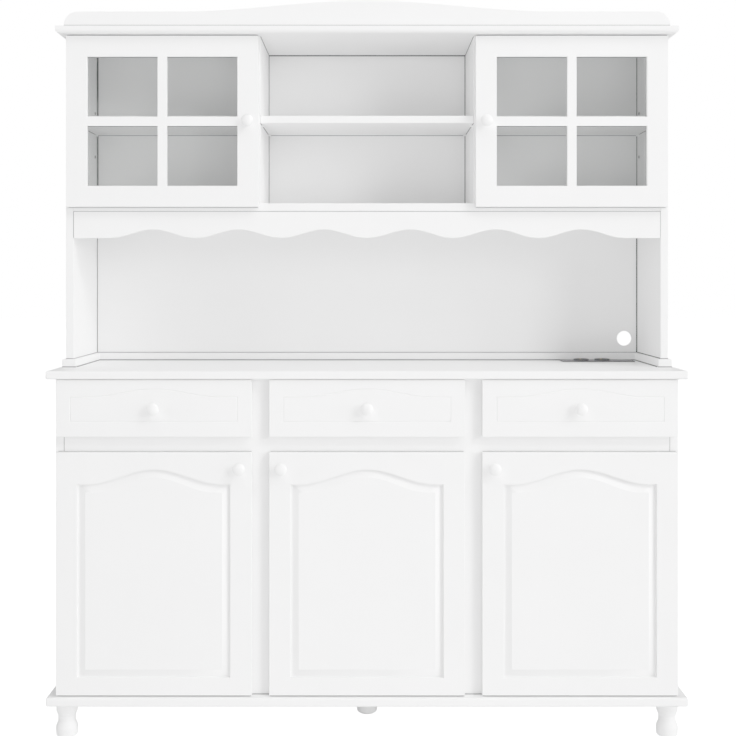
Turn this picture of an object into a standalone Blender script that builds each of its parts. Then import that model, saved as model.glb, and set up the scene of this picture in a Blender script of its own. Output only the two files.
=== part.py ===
"""Painted buffet cabinet with a glazed hutch, built as separate pieces.

Metres, +Z up. The origin is on the floor under the middle of the whole cabinet, and the front faces -Y.
"""

import math

import bmesh
import bpy
from mathutils import Matrix, Vector

# Clearances and edges
TOUCH_GAP = 0.0003
CUT_OVERRUN = 0.002
MERGE_DISTANCE = 0.00003
FLAT_ANGLE = math.radians(0.05)
EDGE_ROUND = 0.001
ROUND_STEPS = 24
SMALL_ROUND_STEPS = 12
KNOB_STEPS = 20
CURVE_STEPS = 4
SHORT_CURVE_STEPS = 2
CORNICE_CURVE_STEPS = 6

# Feet
FOOT_HEIGHT = 0.084
FOOT_COLLAR_RADIUS = 0.0257
FOOT_NECK_RADIUS = 0.0217
FOOT_BULGE_RADIUS = 0.0267
FOOT_TOE_RADIUS = 0.0205
FOOT_SIDE_INSET = 0.041
FOOT_DEPTH_INSET = 0.045
FOOT_COLLAR_SHARE = 0.915
FOOT_NECK_TOP_SHARE = 0.81
FOOT_NECK_FOOT_SHARE = 0.63
FOOT_BULGE_TOP_SHARE = 0.42
FOOT_BULGE_FOOT_SHARE = 0.33

# Base board and worktop
BASE_BOARD_THICKNESS = 0.022
BASE_BOARD_ROUND = 0.005
WORKTOP_WIDTH = 1.540
WORKTOP_DEPTH = 0.400
WORKTOP_THICKNESS = 0.020
WORKTOP_ROUND = 0.004

# Base carcass
BASE_SIDE_SETBACK = 0.018
BASE_CARCASS_HEIGHT = 0.762
BASE_SIDE_THICKNESS = 0.020
PARTITION_THICKNESS = 0.018
FRAME_THICKNESS = 0.020
FRAME_SETBACK = 0.028
STILE_WIDTH = 0.060
BOTTOM_RAIL_HEIGHT = 0.020
MIDDLE_RAIL_HEIGHT = 0.050
TOP_RAIL_HEIGHT = 0.024
BACK_THICKNESS = 0.006
BACK_RECESS = 0.010
BACK_GROOVE_DEPTH = 0.006

# Doors and drawer fronts of the base
DOOR_THICKNESS = 0.018
DOOR_BACK_GAP = 0.002
FRONT_END_REVEAL = 0.003
FRONT_SIDE_REVEAL = 0.005
FRONT_SPACING = 0.042
RAIL_SHOWING = 0.035
DRAWER_FRONT_HEIGHT = 0.1355
DOOR_STILE = 0.053
DOOR_BOTTOM_MARGIN = 0.0465
DOOR_SHOULDER_MARGIN = 0.0785
DOOR_SHOULDER_WIDTH = 0.017
DOOR_ARCH_RISE = 0.034
ARCH_STEPS = 20
PANEL_SINK = 0.004
PANEL_BEVEL_WIDTH = 0.017
PANEL_FIELD_SINK = 0.0004
PANEL_FLOOR_STRIP = 0.0006
GROOVE_SIDE_MARGIN = 0.0345
GROOVE_BOTTOM_MARGIN = 0.037
GROOVE_SHOULDER_MARGIN = 0.040
GROOVE_SHOULDER_WIDTH = 0.0425
GROOVE_ARCH_RISE = 0.020
GROOVE_WIDTH = 0.002
GROOVE_DEPTH = 0.001

# Drawer boxes and the cleats that carry them
DRAWER_WALL = 0.012
DRAWER_FLOOR = 0.006
DRAWER_BOX_HEIGHT = 0.098
DRAWER_BOX_LENGTH = 0.250
DRAWER_SIDE_CLEARANCE = 0.004
CLEAT_HEIGHT = 0.020

# Knobs
KNOB_LENGTH = 0.024
KNOB_RADIUS = 0.015
KNOB_NECK_RADIUS = 0.0065
KNOB_BASE_RADIUS = 0.0085
KNOB_BASE_SHARE = 0.12
KNOB_NECK_SHARE = 0.34
KNOB_RIM_SHARE = 0.66
KNOB_EDGE_DISTANCE = 0.029
KNOB_DROP = 0.041

# Concealed hinges
HINGE_CUP_RADIUS = 0.0175
HINGE_CUP_DEPTH = 0.012
HINGE_CUP_EDGE_DISTANCE = 0.005
HINGE_ARM_WIDTH = 0.011
HINGE_ARM_HEIGHT = 0.014
HINGE_PLATE_THICKNESS = 0.003
HINGE_PLATE_HEIGHT = 0.050
HINGE_PLATE_DEPTH = 0.016
HINGE_PLATE_SETBACK = 0.0015
HINGE_ROUND = 0.0012
BASE_HINGE_END_DISTANCE = 0.080
HUTCH_HINGE_END_DISTANCE = 0.065

# Hutch carcass
HUTCH_SIDE_PROUD = 0.002
HUTCH_DEPTH = 0.270
HUTCH_SIDE_THICKNESS = 0.019
HUTCH_SIDE_HEIGHT = 0.808
PLINTH_HEIGHT = 0.020
PLINTH_PROUD = 0.008
PLINTH_ROUND = 0.003
BAY_SHARE = 0.3548
BAY_PARTITION_THICKNESS = 0.018
NICHE_HEIGHT = 0.3695
BOTTOM_BOARD_THICKNESS = 0.020
SHELF_THICKNESS = 0.018
SHELF_RISE = 0.201
SHELF_SETBACK = 0.003
SHELF_END_CLEARANCE = 0.0005
PIN_RADIUS = 0.0025
PIN_LENGTH = 0.008
PIN_HOLE_DEPTH = 0.008
PIN_FRONT_INSET = 0.040
PIN_BACK_INSET = 0.024
PIN_SPACING = 0.0585
VALANCE_THICKNESS = 0.015
VALANCE_HEIGHT = 0.067
SCALLOP_COUNT = 6
SCALLOP_SPAN_SHARE = 0.8776
SCALLOP_RISE = 0.022
SCALLOP_STEPS = 12

# Cornice and crown board
CORNICE_SIDE_OVERHANG = 0.017
CORNICE_OVERHANG = 0.020
CORNICE_THICKNESS = 0.018
CORNICE_ROUND = 0.009
CROWN_SETBACK = 0.017
CROWN_THICKNESS = 0.018
CROWN_END_HEIGHT = 0.038
CROWN_END_RADIUS = 0.035
CROWN_ARCH_RISE = 0.027
CROWN_ARCH_SHARE = 0.6167
CROWN_ARCH_STEPS = 28
CROWN_END_STEPS = 8

# Glazed doors
GLAZED_OUTER_REVEAL = 0.005
GLAZED_INNER_REVEAL = 0.003
GLAZED_BOTTOM_LAP = 0.010
GLAZED_RAIL = 0.052
MUNTIN_WIDTH = 0.023
GLASS_THICKNESS = 0.004
GLASS_REBATE_WIDTH = 0.007
GLASS_REBATE_DEPTH = 0.005

# Cable hole and outlet in the niche
CABLE_HOLE_RADIUS = 0.020
CABLE_HOLE_FROM_SIDE = 0.035
CABLE_HOLE_RISE = 0.059
OUTLET_FROM_SIDE = 0.119
OUTLET_WIDTH = 0.193
OUTLET_DEPTH = 0.060
OUTLET_FROM_REAR = 0.065
OUTLET_FLANGE_THICKNESS = 0.0024
OUTLET_FLANGE_LAP = 0.004
OUTLET_BODY_DROP = 0.035
OUTLET_FLANGE_ROUND = 0.001
SOCKET_RADIUS = 0.0205
SOCKET_HEIGHT = 0.0045
SOCKET_SPACING = 0.0555
SOCKET_OFFSET = 0.0145
SOCKET_ROUND = 0.0015

# Widths, all from the worktop's
BASE_WIDTH = WORKTOP_WIDTH - 2 * BASE_SIDE_SETBACK
HUTCH_WIDTH = BASE_WIDTH + 2 * HUTCH_SIDE_PROUD
CORNICE_WIDTH = HUTCH_WIDTH + 2 * CORNICE_SIDE_OVERHANG

HUTCH_INNER_X = HUTCH_WIDTH / 2 - HUTCH_SIDE_THICKNESS
BAY_WIDTH = HUTCH_WIDTH * BAY_SHARE
SCALLOP_PITCH = 2 * HUTCH_INNER_X * SCALLOP_SPAN_SHARE / SCALLOP_COUNT
CROWN_ARCH_HALF_WIDTH = HUTCH_WIDTH / 2 * CROWN_ARCH_SHARE

# Heights of the stacked pieces
BASE_BOARD_Z = FOOT_HEIGHT + TOUCH_GAP
CARCASS_Z = BASE_BOARD_Z + BASE_BOARD_THICKNESS + TOUCH_GAP
CARCASS_TOP_Z = CARCASS_Z + BASE_CARCASS_HEIGHT
WORKTOP_Z = CARCASS_TOP_Z + TOUCH_GAP
WORKTOP_TOP_Z = WORKTOP_Z + WORKTOP_THICKNESS
PLINTH_Z = WORKTOP_TOP_Z + TOUCH_GAP
HUTCH_Z = PLINTH_Z + PLINTH_HEIGHT + TOUCH_GAP
HUTCH_TOP_Z = HUTCH_Z + HUTCH_SIDE_HEIGHT
CORNICE_Z = HUTCH_TOP_Z + TOUCH_GAP
CROWN_Z = CORNICE_Z + CORNICE_THICKNESS + TOUCH_GAP
BAY_FLOOR_Z = HUTCH_Z + NICHE_HEIGHT
BAY_Z = BAY_FLOOR_Z + BOTTOM_BOARD_THICKNESS + TOUCH_GAP
SHELF_Z = BAY_Z + SHELF_RISE

# Depths, with the knobs at the front and the worktop at the rear equally far from the origin
TOTAL_DEPTH = WORKTOP_DEPTH - FRAME_SETBACK + DOOR_BACK_GAP + DOOR_THICKNESS + TOUCH_GAP + KNOB_LENGTH
REAR_Y = TOTAL_DEPTH / 2
WORKTOP_FRONT_Y = REAR_Y - WORKTOP_DEPTH
FRAME_Y = WORKTOP_FRONT_Y + FRAME_SETBACK
FRAME_BACK_Y = FRAME_Y + FRAME_THICKNESS
HUTCH_Y = REAR_Y - HUTCH_DEPTH
BACK_REAR_Y = REAR_Y - BACK_RECESS
BACK_Y = BACK_REAR_Y - BACK_THICKNESS
INNER_REAR_Y = BACK_Y - TOUCH_GAP
CORNICE_Y = HUTCH_Y - DOOR_BACK_GAP - DOOR_THICKNESS - CORNICE_OVERHANG

# Fronts of the base, and the openings of the face frame behind them
BASE_INNER_X = BASE_WIDTH / 2 - BASE_SIDE_THICKNESS
FRONT_WIDTH = (BASE_WIDTH - 2 * FRONT_SIDE_REVEAL - 2 * FRONT_SPACING) / 3
FRONT_PITCH = FRONT_WIDTH + FRONT_SPACING
STILE_X = FRONT_PITCH / 2
DRAWER_FRONT_TOP_Z = CARCASS_TOP_Z - FRONT_END_REVEAL
DRAWER_FRONT_Z = DRAWER_FRONT_TOP_Z - DRAWER_FRONT_HEIGHT
DOOR_TOP_Z = DRAWER_FRONT_Z - RAIL_SHOWING
DOOR_Z = CARCASS_Z + FRONT_END_REVEAL
DOOR_HEIGHT = DOOR_TOP_Z - DOOR_Z
MIDDLE_RAIL_Z = (DRAWER_FRONT_Z + DOOR_TOP_Z - MIDDLE_RAIL_HEIGHT) / 2
MIDDLE_RAIL_TOP_Z = MIDDLE_RAIL_Z + MIDDLE_RAIL_HEIGHT
TOP_RAIL_Z = CARCASS_TOP_Z - TOP_RAIL_HEIGHT
DRAWER_BOX_Z = MIDDLE_RAIL_TOP_Z + TOUCH_GAP
OUTER_OPENING_WIDTH = BASE_INNER_X - STILE_X - STILE_WIDTH / 2
MIDDLE_OPENING_WIDTH = 2 * STILE_X - STILE_WIDTH
DRAWER_BOX_WIDTH = min(OUTER_OPENING_WIDTH, MIDDLE_OPENING_WIDTH) - 2 * DRAWER_SIDE_CLEARANCE
OUTER_BOX_X = (BASE_INNER_X + STILE_X + STILE_WIDTH / 2) / 2

# Glazed doors of the hutch
BAY_PARTITION_X = BAY_WIDTH / 2 + BAY_PARTITION_THICKNESS
GLAZED_OUTER_X = HUTCH_WIDTH / 2 - GLAZED_OUTER_REVEAL
GLAZED_INNER_X = BAY_WIDTH / 2 + GLAZED_INNER_REVEAL
GLAZED_WIDTH = GLAZED_OUTER_X - GLAZED_INNER_X
GLAZED_Z = BAY_FLOOR_Z + GLAZED_BOTTOM_LAP
GLAZED_TOP_Z = HUTCH_TOP_Z - FRONT_END_REVEAL
GLAZED_HEIGHT = GLAZED_TOP_Z - GLAZED_Z

# Outlet and cable hole
OUTLET_X = HUTCH_INNER_X - OUTLET_FROM_SIDE
OUTLET_Y = REAR_Y - OUTLET_FROM_REAR
CABLE_HOLE_X = HUTCH_INNER_X - CABLE_HOLE_FROM_SIDE


def clear_scene():
    for item in list(bpy.data.objects):
        bpy.data.objects.remove(item, do_unlink=True)


def new_collection(name):
    collection = bpy.data.collections.new(name)
    bpy.context.scene.collection.children.link(collection)
    return collection


def new_material(name, colour, roughness, metallic=0.0, alpha=1.0):
    material = bpy.data.materials.new(name)
    material.use_nodes = True
    shader = material.node_tree.nodes["Principled BSDF"]
    shader.inputs["Base Color"].default_value = (*colour, 1.0)
    shader.inputs["Roughness"].default_value = roughness
    shader.inputs["Metallic"].default_value = metallic
    shader.inputs["Alpha"].default_value = alpha
    material.diffuse_color = (*colour, alpha)
    return material


clear_scene()
PARTS = new_collection("buffet_cabinet")
CUTTERS = new_collection("cutters")

WHITE = (0.88, 0.88, 0.88)
LINING = (0.80, 0.80, 0.79)
BLACK = (0.012, 0.012, 0.013)
STEEL = (0.62, 0.62, 0.60)
CLEAR = (0.86, 0.90, 0.90)
CLEAR_ALPHA = 0.25
PAINT_ROUGHNESS = 0.42
STEEL_ROUGHNESS = 0.28
PLASTIC_ROUGHNESS = 0.35
GLASS_ROUGHNESS = 0.03
HIDDEN_MATERIAL = new_material("hidden_shape", BLACK, PAINT_ROUGHNESS)


def place(name, mesh, location, material, collection=None):
    item = bpy.data.objects.new(name, mesh)
    item.location = location
    mesh.materials.clear()
    mesh.materials.append(material)
    (collection or PARTS).objects.link(item)
    return item


def painted(name, colour=WHITE):
    return new_material(f"{name}_paint", colour, PAINT_ROUGHNESS)


def soften(item, width, segments=2):
    """Rounds every sharp edge of a board."""
    bevel = item.modifiers.new("rounded_edges", "BEVEL")
    bevel.width = width
    bevel.segments = segments
    bevel.limit_method = "ANGLE"
    return item


def combine(item, other, operation):
    """Cuts or joins a piece with a hidden shape, which then follows that piece."""
    other.hide_render = True
    other.display_type = "WIRE"
    other.parent = item
    other.location = other.location - item.location
    modifier = item.modifiers.new(other.name, "BOOLEAN")
    modifier.solver = "EXACT"
    modifier.operation = operation
    modifier.object = other


def block_mesh(name, size):
    shape = bmesh.new()
    bmesh.ops.create_cube(shape, size=1.0)
    bmesh.ops.scale(shape, vec=size, verts=shape.verts)
    mesh = bpy.data.meshes.new(name)
    shape.to_mesh(mesh)
    shape.free()
    return mesh


def block(name, low, high, material, collection=None):
    """A box between two corners, with its own origin in its middle."""
    low = Vector(low)
    high = Vector(high)
    return place(name, block_mesh(name, high - low), (low + high) / 2, material, collection)


def board(name, low, high, material=None, width=EDGE_ROUND, segments=2):
    return soften(block(name, low, high, material or painted(name)), width, segments)


def outline_mesh(name, loops, thickness, upright=True):
    """A flat outline with holes as a plate: upright ones are drawn in X and Z, others in X and Y."""
    curve = bpy.data.curves.new(name, "CURVE")
    curve.dimensions = "2D"
    curve.fill_mode = "BOTH"
    curve.extrude = thickness / 2
    for loop in loops:
        spline = curve.splines.new("POLY")
        spline.points.add(len(loop) - 1)
        for point, (x, y) in zip(spline.points, loop):
            point.co = (x, y, 0.0, 1.0)
        spline.use_cyclic_u = True
    drawn = bpy.data.objects.new(name, curve)
    PARTS.objects.link(drawn)
    evaluated = drawn.evaluated_get(bpy.context.evaluated_depsgraph_get())
    mesh = bpy.data.meshes.new_from_object(evaluated)
    bpy.data.objects.remove(drawn)
    bpy.data.curves.remove(curve)
    mesh.name = name
    shape = bmesh.new()
    shape.from_mesh(mesh)
    bmesh.ops.remove_doubles(shape, verts=shape.verts, dist=MERGE_DISTANCE)
    bmesh.ops.dissolve_limit(shape, angle_limit=FLAT_ANGLE, verts=shape.verts, edges=shape.edges)
    if upright:
        bmesh.ops.transform(shape, matrix=Matrix.Rotation(math.pi / 2, 4, "X"), verts=shape.verts)
    bmesh.ops.recalc_face_normals(shape, faces=shape.faces)
    shape.to_mesh(mesh)
    shape.free()
    return mesh


def turned(name, profile, location, material, steps=ROUND_STEPS):
    """A lathe-turned piece. The profile runs from the top down its outer side, as radius and height."""
    mesh = bpy.data.meshes.new(name)
    points = [(radius, 0.0, height) for radius, height in profile]
    mesh.from_pydata(points, [(i, i + 1) for i in range(len(points) - 1)], [])
    item = place(name, mesh, location, material)
    screw = item.modifiers.new("turning", "SCREW")
    screw.steps = steps
    screw.render_steps = steps
    screw.use_merge_vertices = True
    screw.merge_threshold = MERGE_DISTANCE
    screw.use_smooth_shade = True
    return item


def eased(start, end, steps):
    """Points on a smooth S from one radius and height to another, without the first."""
    points = []
    for step in range(1, steps + 1):
        share = step / steps
        ease = (1 - math.cos(math.pi * share)) / 2
        points.append((start[0] + (end[0] - start[0]) * ease, start[1] + (end[1] - start[1]) * share))
    return points


def quarter(centre, radius_x, radius_y, start_turn, steps):
    """Points on a quarter of an ellipse, counterclockwise from a start given in quarter turns."""
    points = []
    for step in range(steps + 1):
        angle = (start_turn + step / steps) * math.pi / 2
        points.append((centre[0] + radius_x * math.cos(angle), centre[1] + radius_y * math.sin(angle)))
    return points


def arch(half_width, rise, base, steps):
    """A cosine swell from right to left, from its foot on one side to its foot on the other."""
    points = []
    for step in range(steps + 1):
        x = half_width * (1 - 2 * step / steps)
        points.append((x, base + rise * (1 + math.cos(math.pi * x / half_width)) / 2))
    return points


def arched_outline(half_width, bottom, shoulder, arch_half_width, rise):
    """A rectangle whose top edge swells into an arch, counterclockwise from its lower left corner."""
    corners = [(-half_width, bottom), (half_width, bottom), (half_width, shoulder)]
    return corners + arch(arch_half_width, rise, shoulder, ARCH_STEPS) + [(-half_width, shoulder)]


def loft_mesh(name, rings, ring_shaped=False):
    """A closed skin through rings of equally many points, ending in caps or joined to its own start."""
    shape = bmesh.new()
    drawn = [[shape.verts.new(point) for point in ring] for ring in rings]
    pairs = list(zip(drawn, drawn[1:]))
    if ring_shaped:
        pairs.append((drawn[-1], drawn[0]))
    else:
        shape.faces.new(drawn[0])
        shape.faces.new(drawn[-1])
    count = len(drawn[0])
    for lower, upper in pairs:
        for index in range(count):
            follower = (index + 1) % count
            shape.faces.new((lower[index], lower[follower], upper[follower], upper[index]))
    bmesh.ops.recalc_face_normals(shape, faces=shape.faces)
    mesh = bpy.data.meshes.new(name)
    shape.to_mesh(mesh)
    shape.free()
    return mesh


def routed_cut(name, centre_x, front_y, bottom_z, outline_at, section):
    """A cutter for a routed line: its section's steps inwards and into the wood follow an outline."""
    rings = [[(x, depth, z) for x, z in outline_at(inwards)] for inwards, depth in section]
    return hidden(name, loft_mesh(name, rings, ring_shaped=True), (centre_x, front_y, bottom_z))


def hidden(name, mesh, location):
    return place(name, mesh, location, HIDDEN_MATERIAL, CUTTERS)


def hidden_block(name, low, high):
    return block(name, low, high, HIDDEN_MATERIAL, CUTTERS)


def hidden_cylinder(name, centre, radius, length, axis, steps=ROUND_STEPS):
    shape = bmesh.new()
    bmesh.ops.create_cone(
        shape, cap_ends=True, segments=steps, radius1=radius, radius2=radius, depth=length
    )
    turn = {"X": Matrix.Rotation(math.pi / 2, 4, "Y"), "Y": Matrix.Rotation(math.pi / 2, 4, "X")}
    bmesh.ops.transform(shape, matrix=turn.get(axis, Matrix.Identity(4)), verts=shape.verts)
    mesh = bpy.data.meshes.new(name)
    shape.to_mesh(mesh)
    shape.free()
    return hidden(name, mesh, centre)


def axis_empty(name, location, pieces):
    """An empty on a joint's axis, which its moving pieces hang from."""
    empty = bpy.data.objects.new(name, None)
    empty.location = location
    PARTS.objects.link(empty)
    for piece in pieces:
        piece.parent = empty
        piece.location = piece.location - empty.location


# Feet, base board and worktop
def foot_profile():
    profile = [(0.0, FOOT_HEIGHT), (FOOT_COLLAR_RADIUS, FOOT_HEIGHT)]
    profile.append((FOOT_COLLAR_RADIUS, FOOT_HEIGHT * FOOT_COLLAR_SHARE))
    profile += eased(profile[-1], (FOOT_NECK_RADIUS, FOOT_HEIGHT * FOOT_NECK_TOP_SHARE), CURVE_STEPS)
    profile.append((FOOT_NECK_RADIUS, FOOT_HEIGHT * FOOT_NECK_FOOT_SHARE))
    profile += eased(profile[-1], (FOOT_BULGE_RADIUS, FOOT_HEIGHT * FOOT_BULGE_TOP_SHARE), CURVE_STEPS)
    toe_height = FOOT_HEIGHT * FOOT_BULGE_FOOT_SHARE
    toe_width = FOOT_BULGE_RADIUS - FOOT_TOE_RADIUS
    toe = quarter((FOOT_TOE_RADIUS, toe_height), toe_width, toe_height, 3, CURVE_STEPS)
    return profile + toe[::-1] + [(0.0, 0.0)]


def make_feet():
    side_x = WORKTOP_WIDTH / 2 - FOOT_SIDE_INSET
    front_y = WORKTOP_FRONT_Y + FOOT_DEPTH_INSET
    rear_y = REAR_Y - FOOT_DEPTH_INSET
    places = {
        "foot_front_left": (-side_x, front_y),
        "foot_front_right": (side_x, front_y),
        "foot_rear_left": (-side_x, rear_y),
        "foot_rear_right": (side_x, rear_y),
        "foot_centre": (0.0, (front_y + rear_y) / 2),
    }
    for name, (x, y) in places.items():
        turned(name, foot_profile(), (x, y, 0.0), painted(name))


def make_base_board():
    half = WORKTOP_WIDTH / 2
    low = (-half, WORKTOP_FRONT_Y, BASE_BOARD_Z)
    high = (half, REAR_Y, BASE_BOARD_Z + BASE_BOARD_THICKNESS)
    board("base_board", low, high, width=BASE_BOARD_ROUND, segments=3)


def outlet_cutout(clearance):
    """Corners in X and Y of the hole that the outlet's body drops through."""
    half_x = OUTLET_WIDTH / 2 - OUTLET_FLANGE_LAP + clearance
    half_y = OUTLET_DEPTH / 2 - OUTLET_FLANGE_LAP + clearance
    return (OUTLET_X - half_x, OUTLET_Y - half_y), (OUTLET_X + half_x, OUTLET_Y + half_y)


def make_worktop():
    half = WORKTOP_WIDTH / 2
    low = (-half, WORKTOP_FRONT_Y, WORKTOP_Z)
    high = (half, REAR_Y, WORKTOP_TOP_Z)
    worktop = board("worktop", low, high, width=WORKTOP_ROUND, segments=3)
    near, far = outlet_cutout(TOUCH_GAP)
    cut = hidden_block(
        "outlet_cutout", (*near, WORKTOP_Z - CUT_OVERRUN), (*far, WORKTOP_TOP_Z + CUT_OVERRUN)
    )
    combine(worktop, cut, "DIFFERENCE")


def make_outlet():
    material = new_material("outlet_plastic", BLACK, PLASTIC_ROUGHNESS)
    flange_z = WORKTOP_TOP_Z + TOUCH_GAP
    flange_top_z = flange_z + OUTLET_FLANGE_THICKNESS
    low = (OUTLET_X - OUTLET_WIDTH / 2, OUTLET_Y - OUTLET_DEPTH / 2, flange_z)
    high = (OUTLET_X + OUTLET_WIDTH / 2, OUTLET_Y + OUTLET_DEPTH / 2, flange_top_z)
    outlet = board("outlet_unit", low, high, material, OUTLET_FLANGE_ROUND)
    near, far = outlet_cutout(0.0)
    body_top_z = flange_z + OUTLET_FLANGE_THICKNESS / 2
    body = hidden_block("outlet_body", (*near, WORKTOP_Z - OUTLET_BODY_DROP), (*far, body_top_z))
    combine(outlet, body, "UNION")
    for side, name in ((-1, "left_socket"), (1, "right_socket")):
        x = OUTLET_X - SOCKET_OFFSET + side * SOCKET_SPACING / 2
        length = SOCKET_HEIGHT + OUTLET_FLANGE_THICKNESS / 2
        centre = (x, OUTLET_Y, body_top_z + length / 2)
        socket = hidden_cylinder(name, centre, SOCKET_RADIUS, length, "Z")
        combine(outlet, soften(socket, SOCKET_ROUND), "UNION")


# Base carcass
def cut_back_groove(panel, inner_x, side, low_z, high_z):
    """A groove on a side panel's inner face that holds the edge of a back panel."""
    outer_x = inner_x + BACK_GROOVE_DEPTH
    ends = sorted((side * (inner_x - CUT_OVERRUN), side * outer_x))
    low = (ends[0], BACK_Y - TOUCH_GAP, low_z - CUT_OVERRUN)
    high = (ends[1], BACK_REAR_Y + TOUCH_GAP, high_z + CUT_OVERRUN)
    combine(panel, hidden_block(f"{panel.name}_back_groove", low, high), "DIFFERENCE")


def box_edge_x(bay):
    """Inner and outer X of a drawer box's walls next to the side panel or partition of a bay."""
    centre = OUTER_BOX_X if bay == "outer" else 0.0
    return centre - DRAWER_BOX_WIDTH / 2, centre + DRAWER_BOX_WIDTH / 2


def make_base_sides():
    cleat_inner_x = box_edge_x("outer")[1] - DRAWER_WALL
    for side, name in ((-1, "base_side_left"), (1, "base_side_right")):
        outer_x = BASE_WIDTH / 2
        ends = sorted((side * BASE_INNER_X, side * outer_x))
        panel = board(name, (ends[0], FRAME_Y, CARCASS_Z), (ends[1], REAR_Y, CARCASS_TOP_Z))
        cleat_ends = sorted((side * cleat_inner_x, side * (BASE_INNER_X + CUT_OVERRUN)))
        cleat = hidden_block(
            f"{name}_cleat",
            (cleat_ends[0], FRAME_BACK_Y + TOUCH_GAP, MIDDLE_RAIL_TOP_Z - CLEAT_HEIGHT),
            (cleat_ends[1], INNER_REAR_Y, MIDDLE_RAIL_TOP_Z),
        )
        combine(panel, cleat, "UNION")
        cut_back_groove(panel, BASE_INNER_X, side, CARCASS_Z, CARCASS_TOP_Z)


def make_partitions():
    """Uprights behind the stiles, each with a cleat on both faces under the drawers."""
    inner_cleat_x = box_edge_x("middle")[1] - DRAWER_WALL
    outer_cleat_x = box_edge_x("outer")[0] + DRAWER_WALL
    half = PARTITION_THICKNESS / 2
    cleat_z = MIDDLE_RAIL_TOP_Z - CLEAT_HEIGHT
    for side, name in ((-1, "partition_left"), (1, "partition_right")):
        outline = [
            (STILE_X - half, CARCASS_Z),
            (STILE_X + half, CARCASS_Z),
            (STILE_X + half, cleat_z),
            (outer_cleat_x, cleat_z),
            (outer_cleat_x, MIDDLE_RAIL_TOP_Z),
            (STILE_X + half, MIDDLE_RAIL_TOP_Z),
            (STILE_X + half, CARCASS_TOP_Z),
            (STILE_X - half, CARCASS_TOP_Z),
            (STILE_X - half, MIDDLE_RAIL_TOP_Z),
            (inner_cleat_x, MIDDLE_RAIL_TOP_Z),
            (inner_cleat_x, cleat_z),
            (STILE_X - half, cleat_z),
        ]
        loop = [(side * (x - STILE_X), z - CARCASS_Z) for x, z in outline]
        front_y = FRAME_BACK_Y + TOUCH_GAP
        mesh = outline_mesh(name, [loop], INNER_REAR_Y - front_y)
        place(name, mesh, (side * STILE_X, (front_y + INNER_REAR_Y) / 2, CARCASS_Z), painted(name, LINING))


def rectangle(low_x, low_z, high_x, high_z):
    return [(low_x, low_z), (high_x, low_z), (high_x, high_z), (low_x, high_z)]


def make_face_frame():
    """One routed frame of three rails and two stiles, open at its ends between the rails."""
    end_x = BASE_INNER_X - TOUCH_GAP
    inner_x = STILE_X - STILE_WIDTH / 2
    outer_x = STILE_X + STILE_WIDTH / 2
    openings = (
        (BOTTOM_RAIL_HEIGHT, MIDDLE_RAIL_Z - CARCASS_Z),
        (MIDDLE_RAIL_TOP_Z - CARCASS_Z, TOP_RAIL_Z - CARCASS_Z),
    )
    right = [(end_x, 0.0)]
    for low, high in openings:
        right += [(end_x, low), (outer_x, low), (outer_x, high), (end_x, high)]
    right.append((end_x, BASE_CARCASS_HEIGHT))
    left = [(-x, z) for x, z in reversed(right)]
    loops = [right + left] + [rectangle(-inner_x, low, inner_x, high) for low, high in openings]
    mesh = outline_mesh("face_frame", loops, FRAME_THICKNESS)
    centre_y = (FRAME_Y + FRAME_BACK_Y) / 2
    soften(place("face_frame", mesh, (0.0, centre_y, CARCASS_Z), painted("face_frame")), EDGE_ROUND)


def make_base_back():
    half = BASE_INNER_X + BACK_GROOVE_DEPTH - TOUCH_GAP
    low = (-half, BACK_Y, CARCASS_Z)
    high = (half, BACK_REAR_Y, CARCASS_TOP_Z)
    block("base_back", low, high, painted("base_back", LINING))


# Fronts, drawers and doors of the base
FRONT_Y = FRAME_Y - DOOR_BACK_GAP - DOOR_THICKNESS
FRONT_BACK_Y = FRAME_Y - DOOR_BACK_GAP


def knob_profile():
    rim = KNOB_LENGTH * KNOB_RIM_SHARE
    cap = quarter((0.0, rim), KNOB_RADIUS, KNOB_LENGTH - rim, 0, CURVE_STEPS)
    profile = [(0.0, KNOB_LENGTH)] + cap[-2::-1]
    profile += eased(profile[-1], (KNOB_NECK_RADIUS, KNOB_LENGTH * KNOB_NECK_SHARE), CURVE_STEPS)
    profile += eased(profile[-1], (KNOB_BASE_RADIUS, KNOB_LENGTH * KNOB_BASE_SHARE), SHORT_CURVE_STEPS)
    return profile + [(KNOB_BASE_RADIUS, 0.0), (0.0, 0.0)]


def make_knob(name, x, front_y, z):
    knob = turned(name, knob_profile(), (x, front_y - TOUCH_GAP, z), painted(name), KNOB_STEPS)
    knob.rotation_euler.x = math.pi / 2
    return knob


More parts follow.
